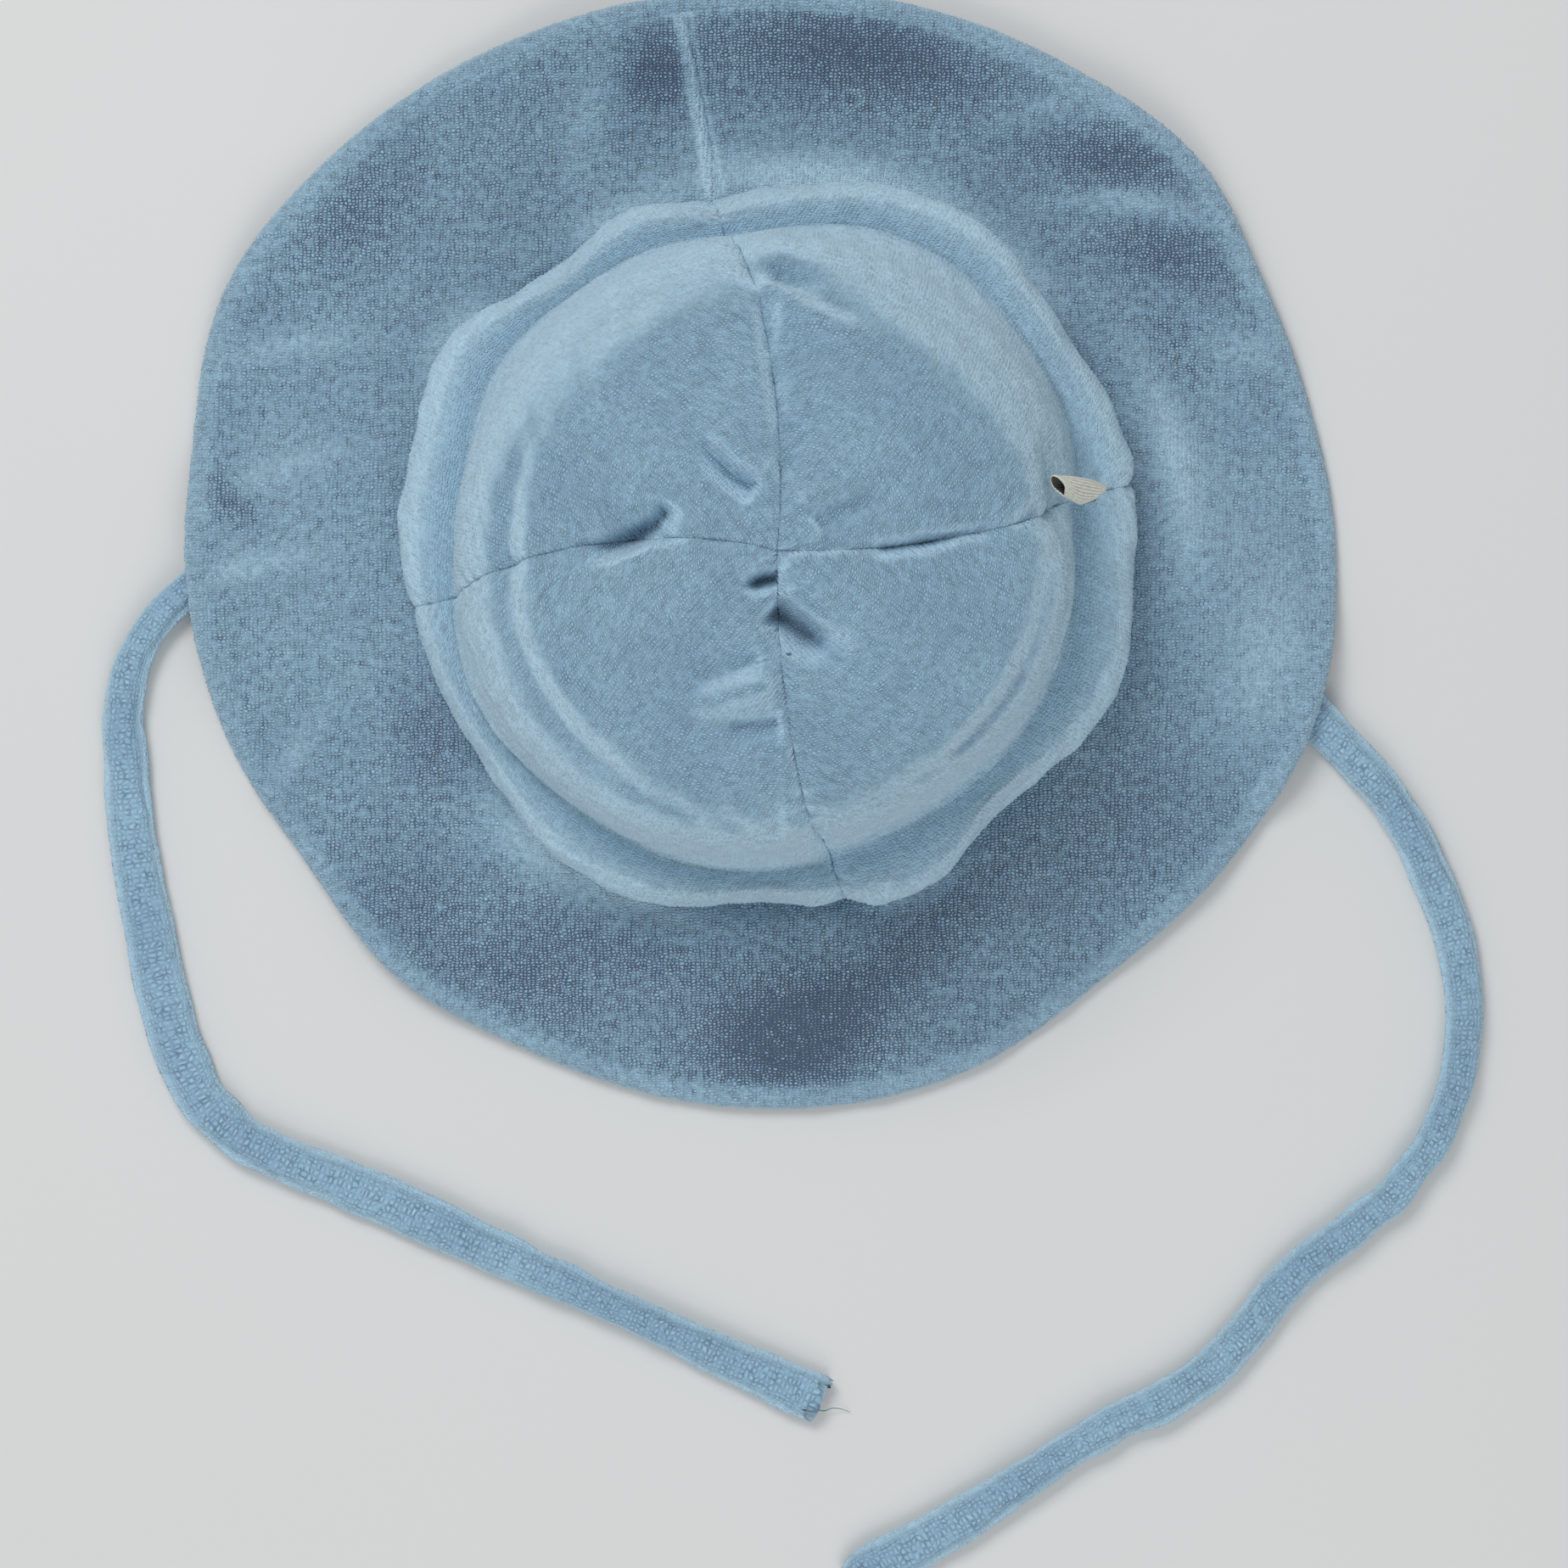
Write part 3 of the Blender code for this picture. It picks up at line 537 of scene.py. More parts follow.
@dataclass(frozen=True)
class Pile:
    """The rows of loops that stand on terry: their sizes in metres, and how much they change."""

    row_pitch: float = 0.00102
    course_pitch: float = 0.00115
    height: float = 0.00055
    loop_change: float = 0.40
    course_change: float = 0.15
    bridging: float = 0.55
    waver: float = 0.00022
    waver_pitch: float = 0.0060
    patch_change: float = 0.35
    patch_pitch: float = 0.0110
    patch_seed: int = 21
    slip: float = 0.45
    seed: int = 1

    def stand(self, places: np.ndarray) -> np.ndarray:
        """Raises every second column of a flat grid into a row of loops.

        Args:
            places: the flat cloth's grid points, with columns half a row pitch apart.

        Returns:
            The points with the loops' heights as a third column, slightly strayed from their rows.
        """
        column = np.rint(places[:, 0] / (0.5 * self.row_pitch))
        course = np.rint(places[:, 1] / self.course_pitch)
        on_row = np.mod(column, 2.0)
        change = self.loop_change * chance(column, course, self.seed)
        change += self.course_change * chance(np.zeros_like(course), course, self.seed)
        between = self.bridging * chance(column, course, self.seed + 9) ** 2
        patchy = crumple(places[:, 0], places[:, 1], self.patch_pitch, self.patch_seed)
        patch = 1.0 - self.patch_change * (0.5 + 0.5 * patchy)
        loft = self.height * (on_row * (1.0 - change) * patch + (1.0 - on_row) * between)
        right = places[:, 0] + self.waver * crumple(places[:, 0], places[:, 1], self.waver_pitch, self.seed)
        stray = on_row * self.slip * self.course_pitch * (chance(course, column, self.seed + 5) - 0.5)
        return np.stack([right, places[:, 1] + stray, loft], axis=-1)

    def loft_at(self, column: np.ndarray, course: np.ndarray) -> np.ndarray:
        """The height of the pile at columns, half a row pitch apart, and courses."""
        places = np.stack([column * 0.5 * self.row_pitch, course * self.course_pitch], axis=-1)
        return self.stand(places)[:, 2]


Trim = Callable[[np.ndarray], tuple[np.ndarray, np.ndarray]]
Drape = Callable[[np.ndarray], np.ndarray]
PaintedShading = Callable[[np.ndarray], np.ndarray]


def blank_grid(columns: int, rows: int) -> tuple[bmesh.types.BMesh, np.ndarray]:
    """Makes a flat grid of faces.

    Args:
        columns: the number of faces across.
        rows: the number of faces ahead.

    Returns:
        The grid, and its vertices' places as shares of the way across and ahead.
    """
    body = bmesh.new()
    bmesh.ops.create_grid(body, x_segments=columns, y_segments=rows, size=0.5)
    return body, np.array([vertex.co for vertex in body.verts])[:, :2] + 0.5


def close_tube(body: bmesh.types.BMesh, reach: float) -> None:
    """Joins a rolled grid along its meeting edges, and closes its two ends.

    Args:
        body: the rolled grid.
        reach: how far apart two vertices may be that become one, in metres.
    """
    bmesh.ops.remove_doubles(body, verts=body.verts[:], dist=reach)
    bmesh.ops.holes_fill(body, edges=[edge for edge in body.edges if edge.is_boundary], sides=0)
    bmesh.ops.recalc_face_normals(body, faces=body.faces[:])


def turn_up(body: bmesh.types.BMesh) -> None:
    """Turns a sheet over where more of it faces down than up.

    Args:
        body: the sheet.
    """
    if sum(face.normal.z for face in body.faces) < 0.0:
        bmesh.ops.reverse_faces(body, faces=body.faces[:])
    body.normal_update()


def give_wall(piece: bpy.types.Object, thickness: float) -> bpy.types.Modifier:
    """Gives a sheet its thickness, behind its face.

    Args:
        piece: the sheet.
        thickness: its thickness in metres.

    Returns:
        The modifier that does it.
    """
    wall = piece.modifiers.new("wall", "SOLIDIFY")
    wall.thickness = thickness
    wall.offset = -1.0
    return wall


def cut_terry(low: Sequence[float], high: Sequence[float], pile: Pile, trim: Trim) -> bmesh.types.BMesh:
    """Cuts a flat piece of terry to its outline, with its loops standing on it.

    Args:
        low: the least cloth coordinates of the piece.
        high: its greatest cloth coordinates.
        pile: its loops.
        trim: moves the places outside the outline onto it, and marks them by the side that they were on.

    Returns:
        The flat cloth, with the height of its pile as the vertices' z.
    """
    start = np.floor(np.array([low[0] / pile.row_pitch, low[1] / pile.course_pitch]))
    count = np.ceil(np.array([high[0] / pile.row_pitch, high[1] / pile.course_pitch])) - start
    pitch = np.array([pile.row_pitch, pile.course_pitch])
    body, flat = blank_grid(int(2 * count[0]), int(count[1]))
    standing = pile.stand((start + flat * count) * pitch)
    kept, side = trim(standing[:, :2])
    standing[:, :2] = kept
    standing[side != 0, 2] = 0.0
    move_vertices(body, standing)
    body.verts.index_update()
    sides = side.tolist()
    waste = []
    for face in body.faces:
        corners = {sides[vertex.index] for vertex in face.verts}
        if len(corners) == 1 and corners != {0}:
            waste.append(face)
    bmesh.ops.delete(body, geom=waste, context="FACES")
    return body


def note_on_vertices(body: bmesh.types.BMesh, name: str, values: np.ndarray) -> None:
    """Stores a value for each vertex, which a finish can read.

    Args:
        body: the bmesh, whose vertices keep their order.
        name: the attribute's name.
        values: a value for each vertex.
    """
    layer = body.verts.layers.float.get(name) or body.verts.layers.float.new(name)
    for vertex, value in zip(body.verts, values.tolist()):
        vertex[layer] = value


def painted_tilt_sheen(tilt: np.ndarray, start: float = 17.0, full: float = 66.0) -> np.ndarray:
    """How much painted sheen highlight goes on cloth that is tilted by so many degrees, from 0 to 1."""
    return smooth_step((tilt - start) / (full - start))


def drape_terry(
    body: bmesh.types.BMesh, pile: Pile, drape: Drape, painted_shading: PaintedShading, step: float = 0.0003
) -> None:
    """Lays a flat cut cloth over a form, and keeps its loops upright on it.

    Args:
        body: the flat cloth with its pile.
        pile: its loops.
        drape: gives the form's points for cloth places.
        painted_shading: gives the painted light and shade at cloth places, from 1 for full painted shade to
            -1 for full painted light.
        step: the distance on the cloth that its slope is read over, in metres.
    """
    flat = np.array([vertex.co for vertex in body.verts])
    places = flat[:, :2]
    aside = np.array([step, 0.0])
    ahead = np.array([0.0, step])
    across = drape(places + aside) - drape(places - aside)
    normal = np.cross(across, drape(places + ahead) - drape(places - ahead))
    normal /= np.maximum(np.linalg.norm(normal, axis=1, keepdims=True), 1e-12)
    tilt = np.degrees(np.arccos(np.clip(np.abs(normal[:, 2]), 0.0, 1.0)))
    lay_cloth_map(body, places)
    note_on_vertices(body, DEPTH_NOTE, 1.0 - flat[:, 2] / pile.height)
    # Painted light and shade for the finish: the given painted shading, less a painted sheen highlight that
    # grows with the cloth's tilt
    note_on_vertices(body, PAINTED_SHADING_NOTE, np.clip(painted_shading(places) - painted_tilt_sheen(tilt), -1.0, 1.0))
    move_vertices(body, drape(places) + flat[:, 2:] * normal)


def line_offset(
    right: np.ndarray, back: np.ndarray, line: Sequence[tuple[float, float]]
) -> tuple[np.ndarray, np.ndarray]:
    """Where points lie beside an open line.

    Args:
        right: the points' first coordinates.
        back: their second coordinates.
        line: the line's corners.

    Returns:
        The distance to the line, positive on its left, and how far along the line the nearest place is.
    """
    corners = np.asarray(line)
    lengths = np.linalg.norm(np.diff(corners, axis=0), axis=1)
    before = np.concatenate([[0.0], np.cumsum(lengths)])
    nearest = np.full_like(right, np.inf)
    offset = np.full_like(right, np.inf)
    share = np.zeros_like(right)
    for start, end, length, run in zip(corners[:-1], corners[1:], lengths, before):
        ahead = (end - start) / length
        from_right = right - start[0]
        from_back = back - start[1]
        along = np.clip(from_right * ahead[0] + from_back * ahead[1], 0.0, length)
        away = np.hypot(from_right - along * ahead[0], from_back - along * ahead[1])
        on_left = np.sign(from_back * ahead[0] - from_right * ahead[1])
        closer = away < nearest
        nearest = np.where(closer, away, nearest)
        offset = np.where(closer, away * on_left, offset)
        share = np.where(closer, (run + along) / before[-1], share)
    return offset, share


class NodeSheet:
    """A node tree with short calls for adding nodes and joining them."""

    def __init__(self, tree: bpy.types.NodeTree) -> None:
        """Takes the node tree that the calls add to."""
        self.tree = tree

    def add(self, kind: str, **settings: object) -> bpy.types.Node:
        """Adds a node and sets its properties.

        Args:
            kind: the node's type name.
            settings: the properties to set.

        Returns:
            The node.
        """
        node = self.tree.nodes.new(kind)
        for name, value in settings.items():
            setattr(node, name, value)
        return node

    def feed(self, socket: bpy.types.NodeSocket, value: object) -> None:
        """Sets a socket to a plain value, or links another socket to it.

        Args:
            socket: the input to feed.
            value: the plain value or the output that feeds it.
        """
        if isinstance(value, bpy.types.NodeSocket):
            self.tree.links.new(value, socket)
        else:
            socket.default_value = value

    def math(
        self, operation: str, first: object, second: object = 0.5, third: object = 0.0
    ) -> bpy.types.NodeSocket:
        """Adds a Math node.

        Args:
            operation: the node's operation.
            first: its first value or socket.
            second: its second value or socket.
            third: its third value or socket.

        Returns:
            The node's output.
        """
        node = self.add("ShaderNodeMath", operation=operation)
        for socket, value in zip(node.inputs, (first, second, third)):
            self.feed(socket, value)
        return node.outputs[0]

    def vector(self, operation: str, first: object, second: object) -> bpy.types.NodeSocket:
        """Adds a Vector Math node.

        Args:
            operation: the node's operation.
            first: its first vector or socket.
            second: its second vector or socket.

        Returns:
            The node's vector output.
        """
        node = self.add("ShaderNodeVectorMath", operation=operation)
        self.feed(node.inputs[0], first)
        self.feed(node.inputs[1], second)
        return node.outputs[0]

    def noise(self, vector: object, scale: float, detail: float = 2.0) -> bpy.types.Node:
        """Adds a Noise Texture node.

        Args:
            vector: the socket that gives the place.
            scale: lumps per metre.
            detail: how many finer layers there are.

        Returns:
            The node.
        """
        node = self.add("ShaderNodeTexNoise")
        self.feed(node.inputs["Vector"], vector)
        node.inputs["Scale"].default_value = scale
        node.inputs["Detail"].default_value = detail
        return node

    def spread(
        self, value: object, low: float, high: float, to_low: float = 0.0, to_high: float = 1.0
    ) -> bpy.types.NodeSocket:
        """Adds a smooth Map Range node.

        Args:
            value: the socket to spread.
            low: the value that gives to_low.
            high: the value that gives to_high.
            to_low: the least result.
            to_high: the greatest result.

        Returns:
            The node's output.
        """
        node = self.add("ShaderNodeMapRange", interpolation_type="SMOOTHSTEP")
        for name, number in (("Value", value), ("From Min", low), ("From Max", high)):
            self.feed(node.inputs[name], number)
        node.inputs["To Min"].default_value = to_low
        node.inputs["To Max"].default_value = to_high
        return node.outputs["Result"]

    def blend(self, share: object, first: object, second: object, way: str = "MIX") -> bpy.types.NodeSocket:
        """Adds a colour Mix node.

        Args:
            share: how much of the second colour there is.
            first: the first colour or socket.
            second: the second colour or socket.
            way: the blend type.

        Returns:
            The mixed colour's socket.
        """
        node = self.add("ShaderNodeMix", data_type="RGBA", blend_type=way)
        self.feed(node.inputs["Factor"], share)
        colours = [socket for socket in node.inputs if socket.type == "RGBA"]
        self.feed(colours[0], first)
        self.feed(colours[1], second)
        return next(socket for socket in node.outputs if socket.type == "RGBA")

    def bump(self, shader: bpy.types.Node, height: object, strength: float, distance: float) -> None:
        """Roughens a shader's surface.

        Args:
            shader: the shader whose normal it feeds.
            height: the socket that gives the height.
            strength: how strong the bump is, from 0 to 1.
            distance: the depth of the full height, in metres.
        """
        node = self.add("ShaderNodeBump")
        node.inputs["Strength"].default_value = strength
        node.inputs["Distance"].default_value = distance
        self.feed(node.inputs["Height"], height)
        self.feed(shader.inputs["Normal"], node.outputs[0])


def start_finish(name: str) -> tuple[bpy.types.Material, NodeSheet, bpy.types.Node]:
    """Starts a material.

    Args:
        name: the material's name.

    Returns:
        The material, the sheet for its nodes, and its shader.
    """
    material = bpy.data.materials.new(name)
    material.use_nodes = True
    return material, NodeSheet(material.node_tree), material.node_tree.nodes["Principled BSDF"]


class GroupMaker:
    """Builds the shader node groups that more than one cloth uses, each once."""

    @staticmethod
    def started(
        name: str, inputs: Sequence[tuple[str, str]], outputs: Sequence[tuple[str, str]]
    ) -> NodeSheet | None:
        """Starts a group with its sockets, unless it is there already.

        Args:
            name: the group's name.
            inputs: the name and type of each input.
            outputs: the name and type of each output.

        Returns:
            The new group's sheet, or None where the group was built before.
        """
        if name in bpy.data.node_groups:
            return None
        tree = bpy.data.node_groups.new(name, "ShaderNodeTree")
        for label, kind in inputs:
            tree.interface.new_socket(label, in_out="INPUT", socket_type=kind)
        for label, kind in outputs:
            tree.interface.new_socket(label, in_out="OUTPUT", socket_type=kind)
        return NodeSheet(tree)

    @classmethod
    def woven_ribs(cls) -> bpy.types.NodeTree:
        """Builds the weave of tape: wavering ribs and cross threads, and the dark gaps between them.

        Returns:
            The group.
        """
        name = "Woven ribs"
        inputs = (
            ("Cloth", "NodeSocketVector"),
            ("Row Pitch", "NodeSocketFloat"),
            ("Course Pitch", "NodeSocketFloat"),
            ("Waver", "NodeSocketFloat"),
            ("Grid", "NodeSocketFloat"),
        )
        outputs = (("Height", "NodeSocketFloat"), ("Gap", "NodeSocketFloat"))
        sheet = cls.started(name, inputs, outputs)
        if sheet is None:
            return bpy.data.node_groups[name]
        start = sheet.add("NodeGroupInput")
        end = sheet.add("NodeGroupOutput")
        cloth = start.outputs["Cloth"]

        drift = sheet.noise(cloth, 260.0, 2.0)
        drift = sheet.vector("SUBTRACT", drift.outputs["Color"], (0.5, 0.5, 0.5))
        scale = sheet.add("ShaderNodeVectorMath", operation="SCALE")
        sheet.feed(scale.inputs[0], drift)
        sheet.feed(scale.inputs["Scale"], start.outputs["Waver"])
        moved = sheet.vector("ADD", cloth, scale.outputs[0])
        place = sheet.add("ShaderNodeSeparateXYZ")
        sheet.feed(place.inputs[0], moved)
        row = sheet.math("DIVIDE", place.outputs["X"], start.outputs["Row Pitch"])
        course = sheet.math("DIVIDE", place.outputs["Y"], start.outputs["Course Pitch"])

        row_turn = sheet.math("MULTIPLY", row, 2.0 * math.pi)
        rib = sheet.math("MULTIPLY_ADD", sheet.math("COSINE", row_turn), 0.5, 0.5)
        row_number = sheet.math("ROUND", row)
        row_start = sheet.add("ShaderNodeTexWhiteNoise", noise_dimensions="1D")
        sheet.feed(row_start.inputs["W"], row_number)
        shifted = sheet.math("ADD", course, row_start.outputs["Value"])
        loop_turn = sheet.math("MULTIPLY", shifted, 2.0 * math.pi)
        loop = sheet.math("MULTIPLY_ADD", sheet.math("COSINE", loop_turn), 0.5, 0.5)

        streak_place = sheet.add("ShaderNodeCombineXYZ")
        sheet.feed(streak_place.inputs["X"], row)
        sheet.feed(streak_place.inputs["Y"], sheet.math("MULTIPLY", course, 0.42))
        streak = sheet.noise(streak_place.outputs[0], 1.15, 1.0)
        streak_height = sheet.spread(streak.outputs["Fac"], 0.28, 0.70, 0.25, 1.0)
        loops = sheet.math("MULTIPLY", rib, loop)
        knit = sheet.add("ShaderNodeMix", data_type="FLOAT")
        sheet.feed(knit.inputs["Factor"], start.outputs["Grid"])
        sheet.feed(knit.inputs["A"], rib)
        sheet.feed(knit.inputs["B"], loops)
        body = sheet.math("MULTIPLY", knit.outputs[0], streak_height)
        fuzz = sheet.noise(cloth, 2600.0, 1.0)
        height = sheet.math("MULTIPLY_ADD", fuzz.outputs["Fac"], 0.30, body)
        sheet.feed(end.inputs["Height"], height)
        sheet.feed(end.inputs["Gap"], sheet.spread(height, 0.46, 0.10))
        return sheet.tree

    @classmethod
    def terry_loops(cls) -> bpy.types.NodeTree:
        """Builds the loops of terry, side by side in wavering rows, and how much ground shows between them,
        which the finish paints as shade.

        Returns:
            The group.
        """
        name = "Terry loops"
        inputs = (
            ("Cloth", "NodeSocketVector"),
            ("Row Pitch", "NodeSocketFloat"),
            ("Course Pitch", "NodeSocketFloat"),
        )
        outputs = (("Height", "NodeSocketFloat"), ("Ground", "NodeSocketFloat"), ("Tip", "NodeSocketFloat"))
        sheet = cls.started(name, inputs, outputs)
        if sheet is None:
            return bpy.data.node_groups[name]
        start = sheet.add("NodeGroupInput")
        end = sheet.add("NodeGroupOutput")
        cloth = start.outputs["Cloth"]
        drift = sheet.vector("SUBTRACT", sheet.noise(cloth, 330.0, 2.0).outputs["Color"], (0.5, 0.5, 0.5))
        moved = sheet.vector("ADD", cloth, sheet.vector("MULTIPLY", drift, (0.0016, 0.0016, 0.0)))
        place = sheet.add("ShaderNodeSeparateXYZ")
        sheet.feed(place.inputs[0], moved)
        counted = sheet.add("ShaderNodeCombineXYZ")
        for axis, pitch in (("X", "Row Pitch"), ("Y", "Course Pitch")):
            number = sheet.math("DIVIDE", place.outputs[axis], start.outputs[pitch])
            sheet.feed(counted.inputs[axis], number)
        border = sheet.add("ShaderNodeTexVoronoi", voronoi_dimensions="2D", feature="DISTANCE_TO_EDGE")
        pick = sheet.add("ShaderNodeTexVoronoi", voronoi_dimensions="2D", feature="F1")
        for cells in (border, pick):
            sheet.feed(cells.inputs["Vector"], counted.outputs[0])
            cells.inputs["Randomness"].default_value = 0.50
            cells.inputs["Scale"].default_value = 1.0
        parts = sheet.add("ShaderNodeSeparateColor")
        sheet.feed(parts.inputs[0], pick.outputs["Color"])
        inside = sheet.spread(border.outputs["Distance"], 0.0, 0.42)
        fuzz = sheet.noise(cloth, 3000.0, 1.0)
        loft = sheet.math("MULTIPLY", inside, sheet.math("MULTIPLY_ADD", parts.outputs[0], 0.6, 0.4))
        height = sheet.math("MULTIPLY_ADD", fuzz.outputs["Fac"], 0.35, loft)
        # How much ground shows between the loops, in random patches; the finish paints it as shade between
        # the loops
        patchy = sheet.noise(cloth, 520.0, 2.0)
        ground = sheet.math("MULTIPLY_ADD", border.outputs["Distance"], -2.4, 0.55)
        ground = sheet.math("MULTIPLY_ADD", patchy.outputs["Fac"], 1.1, sheet.math("ADD", ground, -0.55))
        ground = sheet.math("MULTIPLY_ADD", fuzz.outputs["Fac"], 0.40, sheet.math("ADD", ground, -0.20))
        sheet.feed(end.inputs["Height"], height)
        sheet.feed(end.inputs["Ground"], ground)
        # How much painted highlight each loop's top gets
        sheet.feed(end.inputs["Tip"], sheet.spread(height, 0.45, 1.25, 0.0, 0.50))
        return sheet.tree

    @classmethod
    def cloth_mottle(cls) -> bpy.types.NodeTree:
        """Builds soft patches of lighter and duller dye, as washed cloth has.

        Returns:
            The group.
        """
        name = "Cloth mottle"
        sheet = cls.started(name, (("Place", "NodeSocketVector"),), (("Patch", "NodeSocketFloat"),))
        if sheet is None:
            return bpy.data.node_groups[name]
        start = sheet.add("NodeGroupInput")
        end = sheet.add("NodeGroupOutput")
        wide = sheet.noise(start.outputs["Place"], 42.0, 2.0)
        narrow = sheet.noise(start.outputs["Place"], 240.0, 2.0)
        both = sheet.math("MULTIPLY_ADD", narrow.outputs["Fac"], 0.45, wide.outputs["Fac"])
        sheet.feed(end.inputs["Patch"], sheet.spread(both, 0.50, 0.95))
        return sheet.tree


@dataclass(frozen=True)
class TerryFinish:
    """Looped towelling: its dyes, the painted shade between its loops, and the painted highlight of its
    sheen and loop tips.
    """

    name: str = "Blue terry"
    dye: tuple[float, float, float] = (0.330, 0.525, 0.670)
    dull_dye: tuple[float, float, float] = (0.270, 0.435, 0.580)
    # The painted highlight colour: painted sheen on tilted cloth, painted light from the shading note, and
    # the lit loop tips
    painted_highlight: tuple[float, float, float] = (0.510, 0.725, 0.870)
    # The gap shadow colour: painted shade between the loops
    gap_shadow: tuple[float, float, float] = (0.055, 0.080, 0.150)
    gap_shade: float = 0.92
    gap_start: float = 0.24
    gap_full: float = 0.92
    # How strongly the painted shading note darkens the cloth with painted shade
    painted_shading_weight: float = 0.68
    loop_pitch: tuple[float, float] = (0.00092, 0.00064)
    loop_height: float = 0.00040
    sheen: float = 0.60
    sheen_tint: tuple[float, float, float] = (0.70, 0.87, 1.0)

    def build(self) -> bpy.types.Material:
        """Makes the material.

        Returns:
            The material.
        """
        material, sheet, shader = start_finish(self.name)
        spot = sheet.add("ShaderNodeTexCoord")
        mottle = sheet.add("ShaderNodeGroup", node_tree=GroupMaker.cloth_mottle())
        sheet.feed(mottle.inputs["Place"], spot.outputs["Object"])
        dyed = sheet.blend(mottle.outputs["Patch"], (*self.dull_dye, 1.0), (*self.dye, 1.0))
        painted_shading = sheet.add("ShaderNodeAttribute", attribute_name=PAINTED_SHADING_NOTE)
        # Painted light: lifts the colour towards the painted highlight where the shading note is below 0
        painted_light = sheet.spread(sheet.math("MULTIPLY", painted_shading.outputs["Fac"], -1.0), 0.0, 1.0)
        dyed = sheet.blend(painted_light, dyed, (*self.painted_highlight, 1.0))
        depth = sheet.add("ShaderNodeAttribute", attribute_name=DEPTH_NOTE)
        place = sheet.add("ShaderNodeUVMap", uv_map=CLOTH_MAP)
        loops = sheet.add("ShaderNodeGroup", node_tree=GroupMaker.terry_loops())
        sheet.feed(loops.inputs["Cloth"], place.outputs[0])
        loops.inputs["Row Pitch"].default_value = self.loop_pitch[0]
        loops.inputs["Course Pitch"].default_value = self.loop_pitch[1]
        # Painted shade: the ground between loops, the deep places of the pile and the painted shading note
        # darken the colour towards the gap shadow
        shaded = sheet.math("MULTIPLY_ADD", depth.outputs["Fac"], 0.35, loops.outputs["Ground"])
        shaded = sheet.math("MULTIPLY_ADD", painted_shading.outputs["Fac"], self.painted_shading_weight, shaded)
        gap = sheet.spread(shaded, self.gap_start, self.gap_full, 0.0, self.gap_shade)
        # Painted highlight on the loop tips
        tip_lit = sheet.blend(loops.outputs["Tip"], dyed, (*self.painted_highlight, 1.0))
        colour = sheet.blend(gap, tip_lit, (*self.gap_shadow, 1.0))
        sheet.feed(shader.inputs["Base Color"], colour)
        sheet.bump(shader, loops.outputs["Height"], 1.0, self.loop_height)
        shader.inputs["Roughness"].default_value = 0.95
        shader.inputs["Specular IOR Level"].default_value = 0.15
        shader.inputs["Sheen Weight"].default_value = self.sheen
        shader.inputs["Sheen Roughness"].default_value = 0.55
        shader.inputs["Sheen Tint"].default_value = (*self.sheen_tint, 1.0)
        return material


@dataclass(frozen=True)
class TapeFinish:
    """Woven cream label tape with fine ribs across it."""

    name: str = "Cream tape"
    yarn: tuple[float, float, float] = (0.82, 0.81, 0.72)
    shadow: tuple[float, float, float] = (0.46, 0.45, 0.38)
    rib_pitch: float = 0.00042
    rib_height: float = 0.00012

    def build(self) -> bpy.types.Material:
        """Makes the material.

        Returns:
            The material.
        """
        material, sheet, shader = start_finish(self.name)
        place = sheet.add("ShaderNodeUVMap", uv_map=CLOTH_MAP)
        rows = sheet.add("ShaderNodeGroup", node_tree=GroupMaker.woven_ribs())
        sheet.feed(rows.inputs["Cloth"], place.outputs[0])
        rows.inputs["Row Pitch"].default_value = self.rib_pitch
        rows.inputs["Course Pitch"].default_value = self.rib_pitch * 1.3
        rows.inputs["Waver"].default_value = self.rib_pitch * 0.2
        rows.inputs["Grid"].default_value = 0.7
        colour = sheet.blend(rows.outputs["Gap"], (*self.yarn, 1.0), (*self.shadow, 1.0))
        sheet.feed(shader.inputs["Base Color"], colour)
        sheet.bump(shader, rows.outputs["Height"], 0.7, self.rib_height)
        shader.inputs["Roughness"].default_value = 0.72
        shader.inputs["Sheen Weight"].default_value = 0.15
        return material


def piece_from(
    name: str, body: bmesh.types.BMesh, material: bpy.types.Material
) -> bpy.types.Object:
    """Turns a finished bmesh into a smooth-shaded piece that rides on the hat.

    Args:
        name: the piece's name.
        body: its finished bmesh, which is freed.
        material: its finish.

    Returns:
        The piece.
    """
    mesh = bpy.data.meshes.new(name)
    body.to_mesh(mesh)
    body.free()
    mesh.shade_smooth()
    mesh.materials.append(material)
    piece = bpy.data.objects.new(name, mesh)
    bpy.context.scene.collection.objects.link(piece)
    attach(piece, "root")
    return piece


def lay_cloth_map(body: bmesh.types.BMesh, places: np.ndarray) -> None:
    """Gives each vertex its place on the cut cloth, as a UV map in metres.

    Args:
        body: the bmesh, whose vertices keep their order.
        places: two coordinates for each vertex.
    """
    layer = body.loops.layers.uv.new(CLOTH_MAP)
    body.verts.index_update()
    spots = [tuple(place) for place in places.tolist()]
    for face in body.faces:
        for corner in face.loops:
            corner[layer].uv = spots[corner.vert.index]


def move_vertices(body: bmesh.types.BMesh, points: np.ndarray) -> None:
    """Moves each vertex to its point."""
    for vertex, point in zip(body.verts, points.tolist()):
        vertex.co = point


